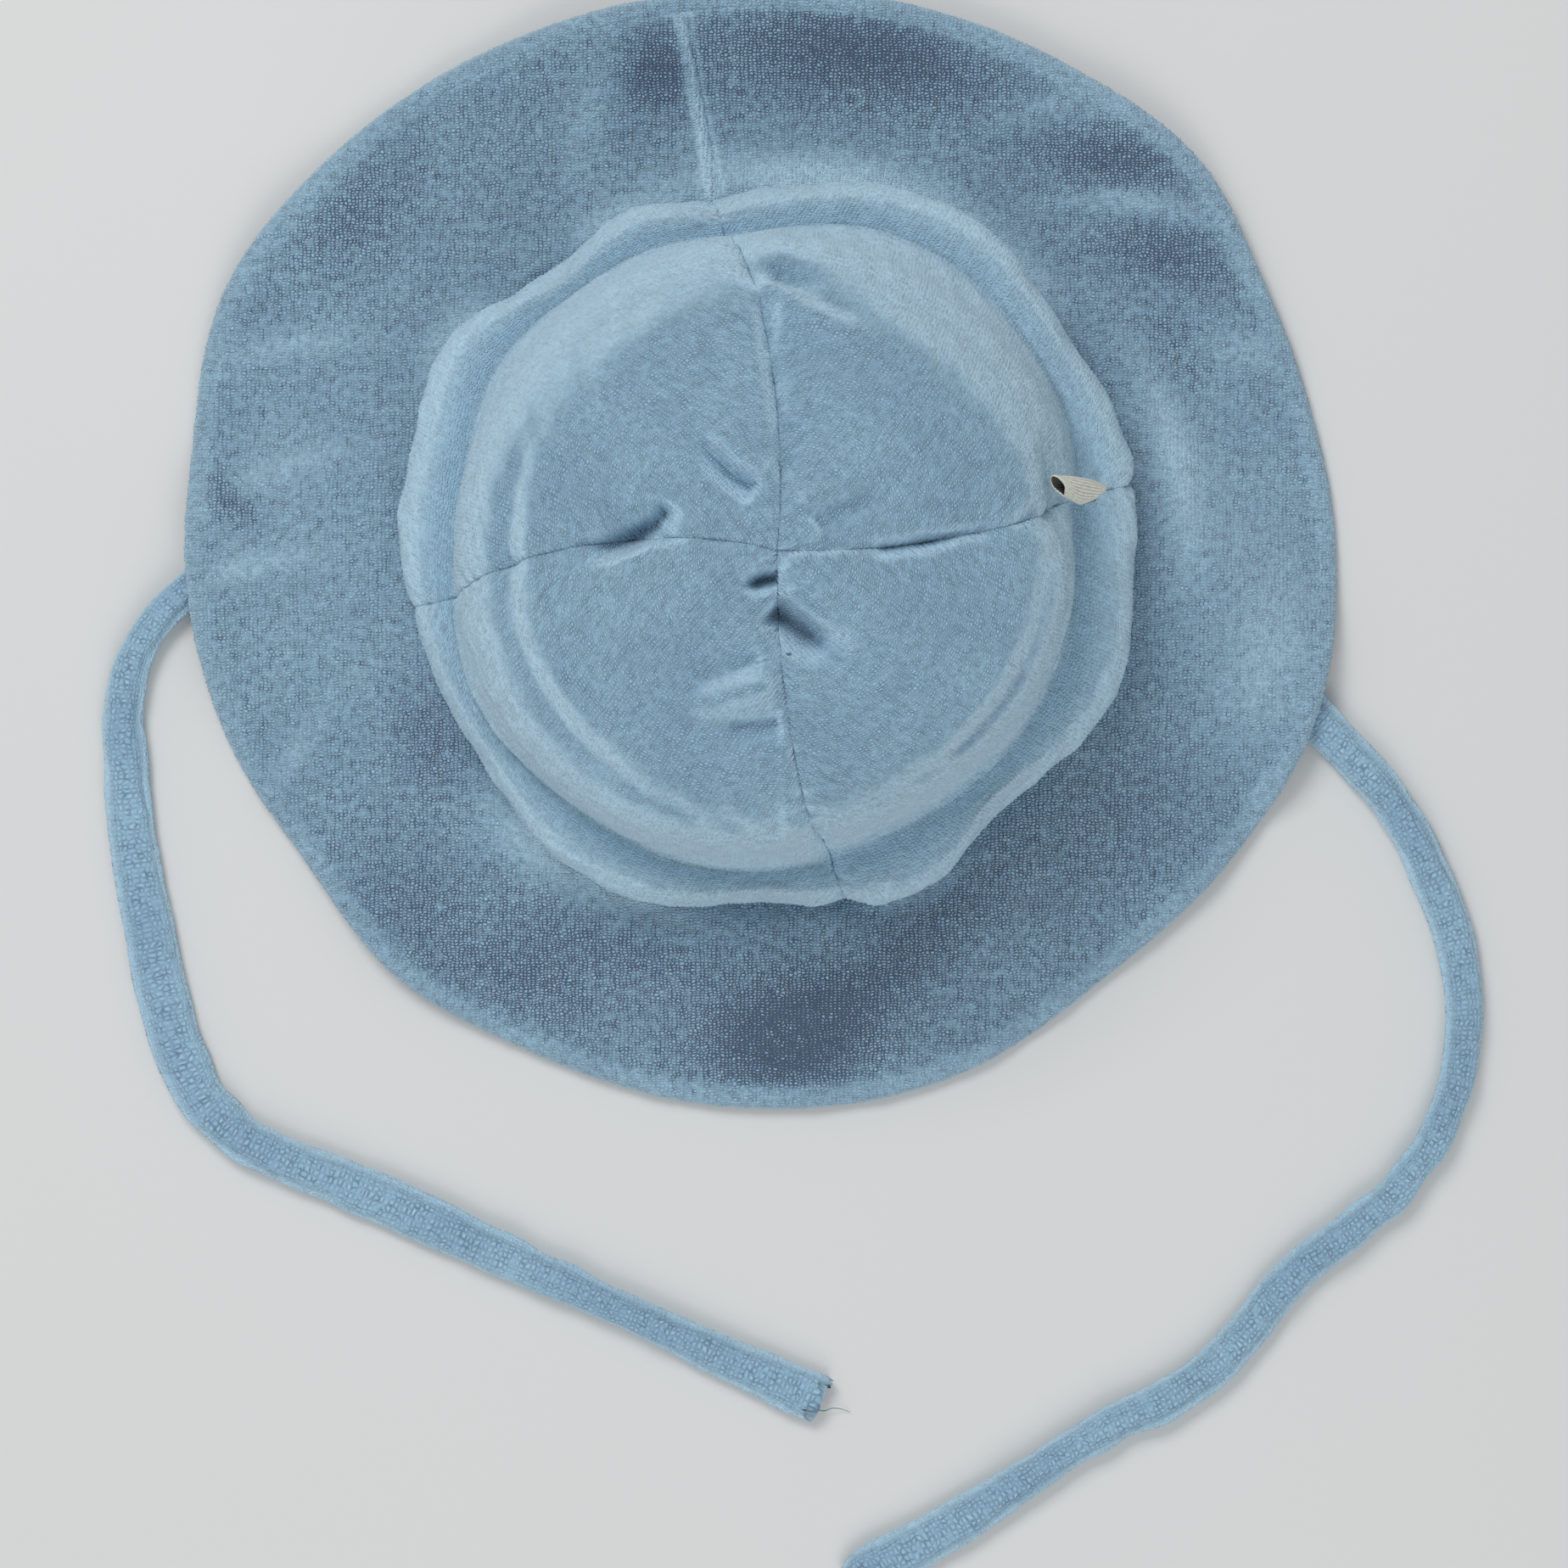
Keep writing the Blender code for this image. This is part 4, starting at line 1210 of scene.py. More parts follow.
@dataclass(frozen=True)
class HatSizes:
    """The hat's driving sizes in metres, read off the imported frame."""

    head_radius: float
    brim_width: float
    seam_height: float
    crown_height: float
    brim_rise: float
    brim_thickness: float = 0.0030
    crown_wall: float = 0.0024
    seam_gap: float = 0.0003
    foot_right: float = 0.0014
    foot_back: float = 0.0005

    @classmethod
    def from_frame(cls) -> "HatSizes":
        """Reads the sizes from the boxes of the brim and of a crown panel.

        Returns:
            The sizes.
        """
        low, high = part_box("brim")
        angles = np.arange(0.0, 360.0, 0.5)
        across = round_curve(RIM_REACHES, angles) * np.cos(np.radians(angles))
        rim = (high[0] - low[0]) / float(across.max() - across.min())
        head = rim * HEAD_SHARE
        panel_low, panel_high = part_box(Panel.BACK_LEFT.value)
        seam_height = panel_low[2]
        return cls(
            head_radius=head,
            brim_width=rim - head,
            seam_height=seam_height,
            crown_height=(panel_high[2] - seam_height) / CREST_SHARE,
            brim_rise=seam_height - cls.brim_thickness - cls.seam_gap,
        )


@dataclass
class Crown:
    """The slumped crown: four terry panels sewn together, with a soft roll over the brim seam."""

    sizes: HatSizes
    finish: bpy.types.Material
    top_right: float = 0.0036
    top_back: float = -0.0030
    seam_dip: float = 0.0009
    seam_dip_reach: float = 0.0036
    seam_cut: float = 0.0007
    seam_cut_reach: float = 0.0009
    pucker_pitch: float = 0.0075
    ripple_height: float = 0.0005
    ripple_pitch: float = 0.0200
    # Painted light on the roll, and painted shade in the creases by crease_shade per share of sinking
    roll_painted_light: float = 0.60
    crease_shade: float = 22.0
    lump_height: float = 0.00022
    lump_pitch: float = 0.0090
    apex_radius: float = 0.0003
    top_start: float = 0.40
    top_fade: float = 0.12
    crease_start: float = 9.0
    crease_end: float = 2.2
    pile: Pile = Pile(height=0.00038, loop_change=0.45)

    def rings(self) -> tuple[np.ndarray, np.ndarray]:
        """The sections' radii and heights, in metres."""
        reach = np.array([row.reach for row in CROWN_SECTIONS]) * self.sizes.head_radius
        return reach, np.array([row.height for row in CROWN_SECTIONS]) * self.sizes.crown_height

    def section_lengths(self) -> tuple[np.ndarray, float]:
        """Measures the wall along its sections.

        Returns:
            The sections' places as shares of the wall's length, and that length.
        """
        reach, height = self.rings()
        along = np.concatenate([[0.0], np.cumsum(np.hypot(np.diff(reach), np.diff(height)))])
        return along / along[-1], float(along[-1])

    def profile(self, along: np.ndarray) -> tuple[np.ndarray, ...]:
        """The crown's plain form before its folds.

        Args:
            along: shares of the way up.

        Returns:
            The radius, the height, and the outward normal's two parts.
        """
        knots, _ = self.section_lengths()
        reach, height = self.rings()
        step = 1e-3
        before = np.clip(along - step, 0.0, 1.0)
        after = np.clip(along + step, 0.0, 1.0)
        outward = smooth_curve(knots, reach, after) - smooth_curve(knots, reach, before)
        upward = smooth_curve(knots, height, after) - smooth_curve(knots, height, before)
        length = np.hypot(outward, upward)
        radius = smooth_curve(knots, reach, along)
        return radius, smooth_curve(knots, height, along), upward / length, -outward / length

    def seam_angle(self, index: int, along: np.ndarray) -> np.ndarray:
        """The azimuth of a seam.

        Args:
            index: the seam's number, which may run past the last seam by a full turn.
            along: shares of the way up.

        Returns:
            The azimuths in degrees.
        """
        line = SEAM_LINES[index % len(SEAM_LINES)]
        turns = 360.0 * (index // len(SEAM_LINES))
        return smooth_curve(SEAM_KNOTS, line[1:], along) + turns

    def fold_push(
        self, angles: np.ndarray, along: np.ndarray, plan_right: np.ndarray, plan_back: np.ndarray
    ) -> np.ndarray:
        """How far the folds of the side and of the top push the cloth out.

        Args:
            angles: azimuths in degrees.
            along: shares of the way up.
            plan_right: the same places in plan, to the right of the crown's middle.
            plan_back: and to the back of it.

        Returns:
            The pushes, in head radii.
        """
        fade = smooth_step((along - self.top_start) / self.top_fade)
        push = np.zeros_like(along)
        for fold in WALL_FOLDS:
            across = bell(turn_between(angles, fold.angle), fold.half_angle)
            push += fold.push * across * bell(along - fold.along, fold.half_along)
        for fold in TOP_FOLDS:
            turn = math.radians(fold.turn)
            right = plan_right / self.sizes.head_radius - fold.right
            back = plan_back / self.sizes.head_radius - fold.back
            lengthwise = right * math.cos(turn) + back * math.sin(turn)
            crosswise = back * math.cos(turn) - right * math.sin(turn)
            push += fold.push * bell(lengthwise, fold.half_length) * bell(crosswise, fold.half_width) * fade
        stepped, sunk = self.crease_lift(plan_right, plan_back)
        return push + (stepped - sunk) * fade

    def crease_lift(self, plan_right: np.ndarray, plan_back: np.ndarray) -> tuple[np.ndarray, np.ndarray]:
        """How far the creases of the top move the cloth.

        Args:
            plan_right: places in plan, to the right of the crown's middle.
            plan_back: and to the back of it.

        Returns:
            How far they step it up, and how far they sink it, in head radii.
        """
        stepped = np.zeros_like(plan_right)
        sunk = np.zeros_like(plan_right)
        for crease in CREASES:
            place = (plan_right / self.sizes.head_radius, plan_back / self.sizes.head_radius)
            offset, share = line_offset(*place, crease.line)
            across = offset / crease.half_width
            ends = smooth_step(self.crease_start * share) * smooth_step(self.crease_end * (1.0 - share))
            stepped += ends * crease.step * across * np.exp(0.5 - 0.5 * across**2)
            sunk += ends * crease.sink * bell(across, 1.0)
        return stepped, sunk

    def outer_face(self, angles: np.ndarray, along: np.ndarray) -> np.ndarray:
        """Points of the crown's outer face, folds and seams included.

        Args:
            angles: azimuths in degrees.
            along: shares of the way up, one for each azimuth.

        Returns:
            The points, a row each.
        """
        head = self.sizes.head_radius
        radius, height, normal_out, normal_up = self.profile(along)
        radius = radius + head * (
            round_curve(ROLL_REACHES, angles) * bell(along - ROLL_ALONG, ROLL_HALF_ALONG)
            + round_curve(GROOVE_REACHES, angles) * bell(along - GROOVE_ALONG, GROOVE_HALF_ALONG)
            + round_curve(SIDE_REACHES, angles) * bell(along - SIDE_ALONG, SIDE_HALF_ALONG)
        ) * smooth_step(along / ROLL_ALONG)
        heading = np.radians(angles)
        plan_right = radius * np.cos(heading)
        plan_back = radius * np.sin(heading)

        push = head * self.fold_push(angles, along, plan_right, plan_back)
        push += self.lump_height * crumple(plan_right, plan_back + height, self.lump_pitch, 3)
        on_roll = 1.0 - smooth_step((along - ROLL_ALONG) / ROLL_HALF_ALONG)
        push += self.ripple_height * on_roll * crumple(heading * radius, height, self.ripple_pitch, 31)
        seams = [self.seam_angle(index, along) for index in range(len(SEAM_LINES))]
        nearest = np.min([np.abs(turn_between(angles, seam)) for seam in seams], axis=0)
        off_seam = np.radians(nearest) * radius
        pucker = 1.0 + 0.8 * crumple(plan_right, plan_back + height, self.pucker_pitch, 41)
        push -= self.seam_dip * pucker * bell(off_seam, self.seam_dip_reach)
        push -= self.seam_cut * np.clip(pucker, 0.2, 1.3) * crest(off_seam, self.seam_cut_reach)
        push *= smooth_step(along / ROLL_ALONG)

        lean = height / self.sizes.crown_height
        middle_right = self.sizes.foot_right + (self.top_right - self.sizes.foot_right) * lean
        middle_back = self.sizes.foot_back + (self.top_back - self.sizes.foot_back) * lean
        return np.stack(
            [
                middle_right + plan_right + push * normal_out * np.cos(heading),
                middle_back + plan_back + push * normal_out * np.sin(heading),
                self.sizes.seam_height + height + push * normal_up,
            ],
            axis=-1,
        )

    def seam_turns(self, index: int, along: np.ndarray) -> tuple[np.ndarray, np.ndarray, np.ndarray]:
        """Where a panel lies between its two seams.

        Args:
            index: the number of the seam that the panel starts at.
            along: shares of the way up.

        Returns:
            The azimuth of its middle line, half the turn that it spans, and the crown's radius there.
        """
        first = self.seam_angle(index, along)
        last = self.seam_angle(index + 1, along)
        radius = np.maximum(self.profile(along)[0], self.apex_radius)
        return 0.5 * (first + last), 0.5 * (last - first), radius

    def make_panel(self, index: int, panel: Panel) -> bpy.types.Object:
        """Cuts one panel from terry whose rows run up its middle line, and drapes it.

        Args:
            index: the number of the seam that the panel starts at.
            panel: which panel it is.

        Returns:
            The panel, which replaces its CAD node.
        """
        _, wall_length = self.section_lengths()

        def share_up(ahead: np.ndarray) -> np.ndarray:
            """The share of the way up at distances from the panel's foot."""
            return np.clip(ahead / wall_length, 0.0, 1.0)

        def trim(places: np.ndarray) -> tuple[np.ndarray, np.ndarray]:
            """Moves cloth places onto the panel, and marks those that were beside it by their side.

            Args:
                places: cloth places, a row each.

            Returns:
                The moved places, and the side that each was on, or 0.
            """
            _, half_turn, radius = self.seam_turns(index, share_up(places[:, 1]))
            edge = np.radians(half_turn) * radius
            side = np.sign(places[:, 0]) * (np.abs(places[:, 0]) > edge)
            aside = np.clip(places[:, 0], -edge, edge)
            return np.stack([aside, np.clip(places[:, 1], 0.0, wall_length)], axis=-1), side

        def drape(places: np.ndarray) -> np.ndarray:
            """The points of the crown's face under cloth places.

            Args:
                places: cloth places, a row each.

            Returns:
                The points, a row each.
            """
            along = share_up(places[:, 1])
            middle, _, radius = self.seam_turns(index, along)
            return self.outer_face(middle + np.degrees(places[:, 0] / radius), along)

        def painted_shading(places: np.ndarray) -> np.ndarray:
            """Painted light and shade on the panel: painted shade in the creases, painted light on the
            roll.

            Args:
                places: cloth places, a row each.

            Returns:
                Values from 1 for full painted shade to -1 for full painted light.
            """
            along = share_up(places[:, 1])
            middle, _, radius = self.seam_turns(index, along)
            heading = np.radians(middle) + places[:, 0] / radius
            # Painted shade in the creases, as deep as they sink the cloth, and painted light on the roll
            _, sunk = self.crease_lift(radius * np.cos(heading), radius * np.sin(heading))
            pale = self.roll_painted_light * (1.0 - smooth_step((along - ROLL_ALONG) / GROOVE_ALONG))
            return self.crease_shade * sunk - pale

        _, half_turn, radius = self.seam_turns(index, np.linspace(0.0, 1.0, 200))
        widest = float((np.radians(half_turn) * radius).max())
        body = cut_terry((-widest, 0.0), (widest, wall_length), self.pile, trim)
        drape_terry(body, self.pile, drape, painted_shading)
        turn_up(body)
        piece = piece_from(f"{panel.value}_cloth", body, self.finish)
        give_wall(piece, self.sizes.crown_wall)
        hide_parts(panel.value)
        return piece

    def build(self) -> list[bpy.types.Object]:
        """Makes the four panels and returns them."""
        return [self.make_panel(index, panel) for index, panel in enumerate(Panel)]


@dataclass
class Tie:
    """A turned tube of terry, pressed flat, that lies loose on the floor."""

    name: str
    node: str
    route: Sequence[tuple[float, float]]
    girths: Sequence[Girth]
    finish: bpy.types.Material
    width: float = 0.0098
    thickness: float = 0.0054
    sides: int = 44
    pile: Pile = Pile(height=0.00045, loop_change=0.45, seed=4)
    rib_height: float = 0.00030
    rib_count: int = 6
    twist_reach: float = 0.034
    wrinkle_pitch: float = 0.0040
    end_reach: float = 0.004
    end_pinch: float = 0.35
    squareness: float = 0.82
    side_painted_sheen: float = 0.8
    frayed: bool = False
    thread_radius: float = 0.00016
    thread_length: float = 0.008

    def line(self) -> np.ndarray:
        """Evenly spaced points along the route.

        Returns:
            The points in plan, a row each.
        """
        points = np.array(self.route)
        along = np.concatenate([[0.0], np.cumsum(np.linalg.norm(np.diff(points, axis=0), axis=1))])
        at = np.linspace(0.0, along[-1], math.ceil(along[-1] / self.pile.course_pitch) + 1)
        return curve_through(along, points, at)

    def length(self) -> float:
        """The tie's length."""
        return float(np.linalg.norm(np.diff(self.line(), axis=0), axis=1).sum())

    def make_thread(self) -> bpy.types.Object:
        """Makes the loose thread that hangs out of the frayed end.

        Returns:
            The thread.
        """
        sides = 6
        body, flat = blank_grid(sides, 20)
        turn = 2.0 * math.pi * np.mod(np.rint(flat[:, 0] * sides), sides) / sides
        points = curve_through(np.linspace(0.0, 1.0, len(THREAD_ROUTE)), THREAD_ROUTE, flat[:, 1])
        radius = self.thread_radius * (1.0 - 0.6 * flat[:, 1])
        points[:, 1] += radius * np.cos(turn)
        points[:, 2] += radius * np.sin(turn)
        lay_cloth_map(body, flat * self.thread_length)
        move_vertices(body, points)
        close_tube(body, 1e-7)
        return piece_from(f"{self.node}_thread", body, self.finish)

    def build(self) -> bpy.types.Object:
        """Returns:
            The tie, which replaces its CAD node.
        """
        line = self.line()
        rings = len(line) - 1
        length = self.length()
        body, flat = blank_grid(self.sides, rings)
        ring = np.rint(flat[:, 1] * rings).astype(int)
        column = np.mod(np.rint(flat[:, 0] * self.sides), self.sides)
        loft = self.pile.loft_at(column, ring)
        share = flat[:, 1]
        ahead = np.gradient(line, axis=0)
        ahead /= np.linalg.norm(ahead, axis=1, keepdims=True)
        centre = line[ring]
        sideways = np.stack([ahead[ring, 1], -ahead[ring, 0]], axis=-1)
        wide = smooth_curve([g.along for g in self.girths], [g.width for g in self.girths], share)
        thick = smooth_curve([g.along for g in self.girths], [g.thickness for g in self.girths], share)
        turn = 2.0 * math.pi * (column / self.sides - 0.25)
        run = share * length
        rib = self.rib_height * np.cos(self.rib_count * turn + 1.6 * np.sin(run / self.twist_reach))
        wrinkles = crumple(np.cos(turn) * self.width / 2.0, 0.35 * run, self.wrinkle_pitch, 11)
        rib += self.rib_height * wrinkles
        rib += loft - 0.5 * self.pile.height
        near_end = smooth_step((share - 1.0) * length / self.end_reach + 1.0)
        closing = 1.0 - near_end * (0.0 if self.frayed else self.end_pinch)
        half_width = 0.5 * self.width * wide * closing + rib
        half_height = 0.5 * self.thickness * thick * closing + 0.6 * rib
        across = np.sign(np.cos(turn)) * np.abs(np.cos(turn)) ** self.squareness * half_width
        up = np.sign(np.sin(turn)) * np.abs(np.sin(turn)) ** self.squareness * half_height
        level = 0.5 * self.thickness * thick
        height = np.maximum(level + up, 0.0)
        points = np.concatenate([centre + sideways * across[:, None], height[:, None]], axis=1)
        if self.frayed:
            ragged = 0.0012 * np.sin(5.0 * turn + 0.7) + 0.0010 * (np.sin(11.0 * turn) - np.cos(turn))
            at_end = ring == rings
            points[at_end, :2] += ahead[ring[at_end]] * ragged[at_end, None]
        girth = 0.5 * self.sides * self.pile.row_pitch
        lay_cloth_map(body, np.stack([flat[:, 0] * girth, run], axis=-1))
        note_on_vertices(body, DEPTH_NOTE, 1.0 - loft / self.pile.height)
        # Painted sheen highlight along the tie's two flat edges
        note_on_vertices(body, PAINTED_SHADING_NOTE, -self.side_painted_sheen * np.abs(np.cos(turn)) ** 3)
        move_vertices(body, points)
        close_tube(body, 1e-6)
        piece = piece_from(self.name, body, self.finish)
        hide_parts(self.node)
        [self.make_thread()] if self.frayed else []
        return piece


@dataclass
class SideLabel:
    """A bare loop of cream tape, folded over and sewn into the right seam, with its upper side agape."""

    finish: bpy.types.Material
    inner_finish: bpy.types.Material
    tape_wall: float = 0.00035
    around: int = 36
    rows: int = 22
    gape: float = 0.00180
    pinch: float = 0.00042
    bow: float = 0.0006
    closed_at: float = 0.75
    tape_round: float = 0.010
    tape_width: float = 0.0125

    def build(self) -> bpy.types.Object:
        """Makes the label.

        Returns:
            The label, which replaces its CAD node.
        """
        body, flat = blank_grid(self.around, self.rows)
        down = flat[:, 1]
        turn = 2.0 * math.pi * np.mod(np.rint(flat[:, 0] * self.around), self.around) / self.around
        knots = np.linspace(0.0, 1.0, len(LABEL_ROOT))
        root = curve_through(knots, LABEL_ROOT, down)
        fold = curve_through(knots, LABEL_FOLD, down)
        outward = fold - root
        half = 0.5 * np.linalg.norm(outward, axis=1)
        outward /= np.maximum(2.0 * half[:, None], 1e-9)
        ahead = np.array(LABEL_FOLD[-1]) - np.array(LABEL_FOLD[0])
        facing = np.cross(outward, ahead / np.linalg.norm(ahead))
        facing /= np.linalg.norm(facing, axis=1, keepdims=True)
        facing *= np.sign(facing[:, 2:])
        open_share = 1.0 - smooth_step(down / self.closed_at)
        thick = self.pinch + (self.gape - self.pinch) * open_share
        bulge = 0.55 + 0.45 * smooth_step((np.cos(turn) + 0.9) / 0.9)
        wave = self.bow * np.sin(math.pi * down) * np.sin(turn)
        points = 0.5 * (root + fold) + outward * (half * np.cos(turn))[:, None]
        points += facing * (thick * bulge * np.sin(turn) + np.clip(wave, 0.0, None))[:, None]
        lay_cloth_map(body, np.stack([flat[:, 0] * self.tape_round, down * self.tape_width], axis=-1))
        move_vertices(body, points)
        bmesh.ops.remove_doubles(body, verts=body.verts[:], dist=1e-7)
        bmesh.ops.recalc_face_normals(body, faces=body.faces[:])
        middle = points.mean(axis=0)
        outwards = sum((face.calc_center_median() - Vector(middle)).dot(face.normal) for face in body.faces)
        if outwards < 0.0:
            bmesh.ops.reverse_faces(body, faces=body.faces[:])
        body.normal_update()
        piece = piece_from("side_label_tape", body, self.finish)
        piece.data.materials.append(self.inner_finish)
        give_wall(piece, self.tape_wall).material_offset = 1
        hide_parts("side_label")
        return piece


def slanted_bell(spot: BrimWave | PaintedShadingPatch, angles: np.ndarray, across: np.ndarray) -> np.ndarray:
    """How near places on the brim are to the middle of a wave or a patch, from 0 to 1.

    Args:
        spot: the wave or the patch.
        angles: azimuths in degrees.
        across: shares of the way to the rim.

    Returns:
        1 at its middle, falling smoothly to 0.
    """
    middle = spot.angle + spot.slant * (across - spot.across)
    nearness = bell(turn_between(angles, middle), spot.half_angle)
    return nearness * bell(across - spot.across, spot.half_across)


@dataclass
class Brim:
    """The wide soft brim: one ring of doubled terry with a rolled rim and a seam at the back."""

    sizes: HatSizes
    finish: bpy.types.Material
    pile: Pile = Pile(course_pitch=0.00138, height=0.00055, loop_change=0.60, course_change=0.2, seed=2)
    steps: int = 1640
    top_rows: int = 6
    band_rows: int = 4
    under_rows: int = 14
    round_rows: int = 6
    band: float = 0.0040
    band_step: float = 0.0012
    sunk: float = 0.0012
    nap_edge: float = 0.0028
    lump_height: float = 0.00035
    lump_pitch: float = 0.0130
    tunnel_flat: float = 0.0058
    tunnel_fall: float = 0.0240
    rim_puff: float = 0.00050
    rim_puff_reach: float = 0.0030
    rim_crease: float = 0.00020
    rim_crease_inset: float = 0.0052
    rim_crease_reach: float = 0.0013
    seam_azimuth: float = 99.2
    seam_dip: float = 0.0012
    seam_dip_reach: float = 0.0011
    seam_painted_highlight: float = 0.70
    nap_inner: float = -0.02
    nap_wall: float = 0.0005
    edge_start: float = 0.87
    edge_fade: float = 0.07
    rim_painted_light: float = 0.25

    def rim_radius(self, angles: np.ndarray) -> np.ndarray:
        """The distance of the rim from the middle of the brim."""
        return (self.sizes.head_radius + self.sizes.brim_width) * round_curve(RIM_REACHES, angles)

    def rim_middle(self) -> tuple[float, float]:
        """The middle of the box round the rim's outline.

        Returns:
            Its place to the right and to the back of the rim's own middle.
        """
        angles = np.arange(0.0, 360.0, 0.5)
        heading = np.radians(angles)
        right = self.rim_radius(angles) * np.cos(heading)
        back = self.rim_radius(angles) * np.sin(heading)
        return (right.min() + right.max()) / 2.0, (back.min() + back.max()) / 2.0

    def tunnel_height(self, right: np.ndarray, back: np.ndarray, ties: Iterable[Tie]) -> np.ndarray:
        """The height that the underside needs to clear the ties below it.

        Args:
            right: places in plan, to the right of the origin.
            back: and to the back of it.
            ties: the ties that the brim lies over.

        Returns:
            The heights over the floor.
        """
        needed = np.zeros_like(right)
        for tie in ties:
            nearest = np.full_like(right, np.inf)
            for point in tie.line()[::2]:
                nearest = np.minimum(nearest, np.hypot(right - point[0], back - point[1]))
            fall = 1.0 - smooth_step((nearest - self.tunnel_flat) / self.tunnel_fall)
            needed = np.maximum(needed, self.sizes.brim_rise * fall)
        return needed

    def middle_shift(self, across: np.ndarray) -> tuple[np.ndarray, np.ndarray]:
        """How far the middle of a ring of the brim is off the origin.

        Args:
            across: shares of the way to the rim.

        Returns:
            The distances to the right and to the back.
        """
        middle_right, middle_back = self.rim_middle()
        hole = np.clip(across, 0.0, 1.0)
        right = self.sizes.foot_right + (-middle_right - self.sizes.foot_right) * hole
        return right, self.sizes.foot_back + (-middle_back - self.sizes.foot_back) * hole

    def plan(self, angles: np.ndarray, across: np.ndarray) -> tuple[np.ndarray, np.ndarray]:
        """Finds places in plan.

        Args:
            angles: azimuths in degrees.
            across: shares of the way to the rim.

        Returns:
            The distances to the right and to the back of the origin.
        """
        head = self.sizes.head_radius
        heading = np.radians(angles)
        reach = head + (self.rim_radius(angles) - head) * across
        right, back = self.middle_shift(across)
        return right + reach * np.cos(heading), back + reach * np.sin(heading)

    def ring_place(self, right: np.ndarray, back: np.ndarray) -> tuple[np.ndarray, np.ndarray]:
        """Finds places on the brim, the other way round from plan.

        Args:
            right: places in plan, to the right of the origin.
            back: and to the back of it.

        Returns:
            Their azimuths in degrees and their shares of the way to the rim.
        """
        head = self.sizes.head_radius
        across = np.full_like(right, 0.5)
        angles = np.zeros_like(right)
        for _ in range(6):
            shift_right, shift_back = self.middle_shift(across)
            angles = np.degrees(np.arctan2(back - shift_back, right - shift_right))
            reach = np.hypot(right - shift_right, back - shift_back)
            across = (reach - head) / (self.rim_radius(angles) - head)
        return angles, across

    def off_seam(self, angles: np.ndarray, across: np.ndarray) -> np.ndarray:
        """How far places on the brim are from its own seam, in metres."""
        reach = self.sizes.head_radius + self.sizes.brim_width * across
        return np.radians(turn_between(angles, self.seam_azimuth)) * reach

    def underside(self, angles: np.ndarray, across: np.ndarray, ties: Sequence[Tie]) -> np.ndarray:
        """The height of the brim's underside.

        Args:
            angles: azimuths in degrees.
            across: shares of the way to the rim.
            ties: the ties that the brim lies over.

        Returns:
            The heights over the floor.
        """
        rise = smooth_curve([r.across for r in BRIM_RINGS], [r.rise for r in BRIM_RINGS], across)
        under = self.sizes.brim_rise * rise
        for wave in BRIM_WAVES:
            shape = slanted_bell(wave, angles, across) * smooth_step((across - 0.06) / 0.12)
            under += wave.lift * self.sizes.brim_width * shape
        right, back = self.plan(angles, across)
        return np.maximum(np.maximum(under, self.tunnel_height(right, back, ties)), 0.0)

    def painted_shading(self, angles: np.ndarray, across: np.ndarray) -> np.ndarray:
        """The painted light and shade on the brim's top: the patches, and a painted highlight along its
        seam.

        Args:
            angles: azimuths in degrees.
            across: shares of the way to the rim.

        Returns:
            Values from 1 for full painted shade to -1 for full painted light.
        """
        total = np.zeros_like(across)
        # Painted shade and painted light from the brim's patches
        for patch in PAINTED_SHADING_PATCHES:
            total += patch.painted_shading * slanted_bell(patch, angles, across)
        # Painted highlight along the brim's seam
        total -= self.seam_painted_highlight * bell(self.off_seam(angles, across), self.seam_dip_reach)
        return np.clip(total, -1.0, 1.0)

    def loft(self, angles: np.ndarray, across: np.ndarray) -> np.ndarray:
        """The height of the brim's top over its underside.

        Args:
            angles: azimuths in degrees.
            across: shares of the way to the rim.

        Returns:
            The heights.
        """
        inset = (1.0 - across) * self.sizes.brim_width
        puff = self.rim_puff * bell(inset - self.rim_puff_reach * 0.8, self.rim_puff_reach)
        puff -= self.rim_crease * bell(inset - self.rim_crease_inset, self.rim_crease_reach)
        off_seam = self.off_seam(angles, across)
        puff += 0.6 * self.seam_dip * bell(off_seam, self.seam_dip_reach)
        puff -= self.seam_dip * bell(off_seam + 2.0 * self.seam_dip_reach, self.seam_dip_reach)
        right, back = self.plan(angles, across)
        puff += self.lump_height * crumple(right, back, self.lump_pitch, 7)
        return self.sizes.brim_thickness + puff * smooth_step((across - 0.02) / 0.10)

    def section(self) -> list[tuple[float, float]]:
        """The outline of a cut through the brim, with a round rim.

        Returns:
            Pairs of a share of the way to the rim and a side, from 0 below to 1 on top.
        """
        hole_radius = self.sizes.head_radius - self.sizes.crown_wall - self.sizes.seam_gap
        inner = (hole_radius - self.sizes.head_radius) / self.sizes.brim_width
        round_reach = 0.5 * self.sizes.brim_thickness / self.sizes.brim_width
        edge = 1.0 - round_reach
        band_start = 1.0 - self.band / self.sizes.brim_width
        step_start = band_start - self.band_step / self.sizes.brim_width
        top = list(np.linspace(inner, step_start, self.top_rows + 1))
        top += list(np.linspace(band_start, edge, self.band_rows + 1))
        turns = np.pi * np.arange(1, self.round_rows) / self.round_rows
        rim = [(edge + round_reach * math.sin(t), 0.5 + 0.5 * math.cos(t)) for t in turns]
        under = np.linspace(edge, inner, self.under_rows + 1)
        return [(across, 1.0) for across in top] + rim + [(across, 0.0) for across in under]

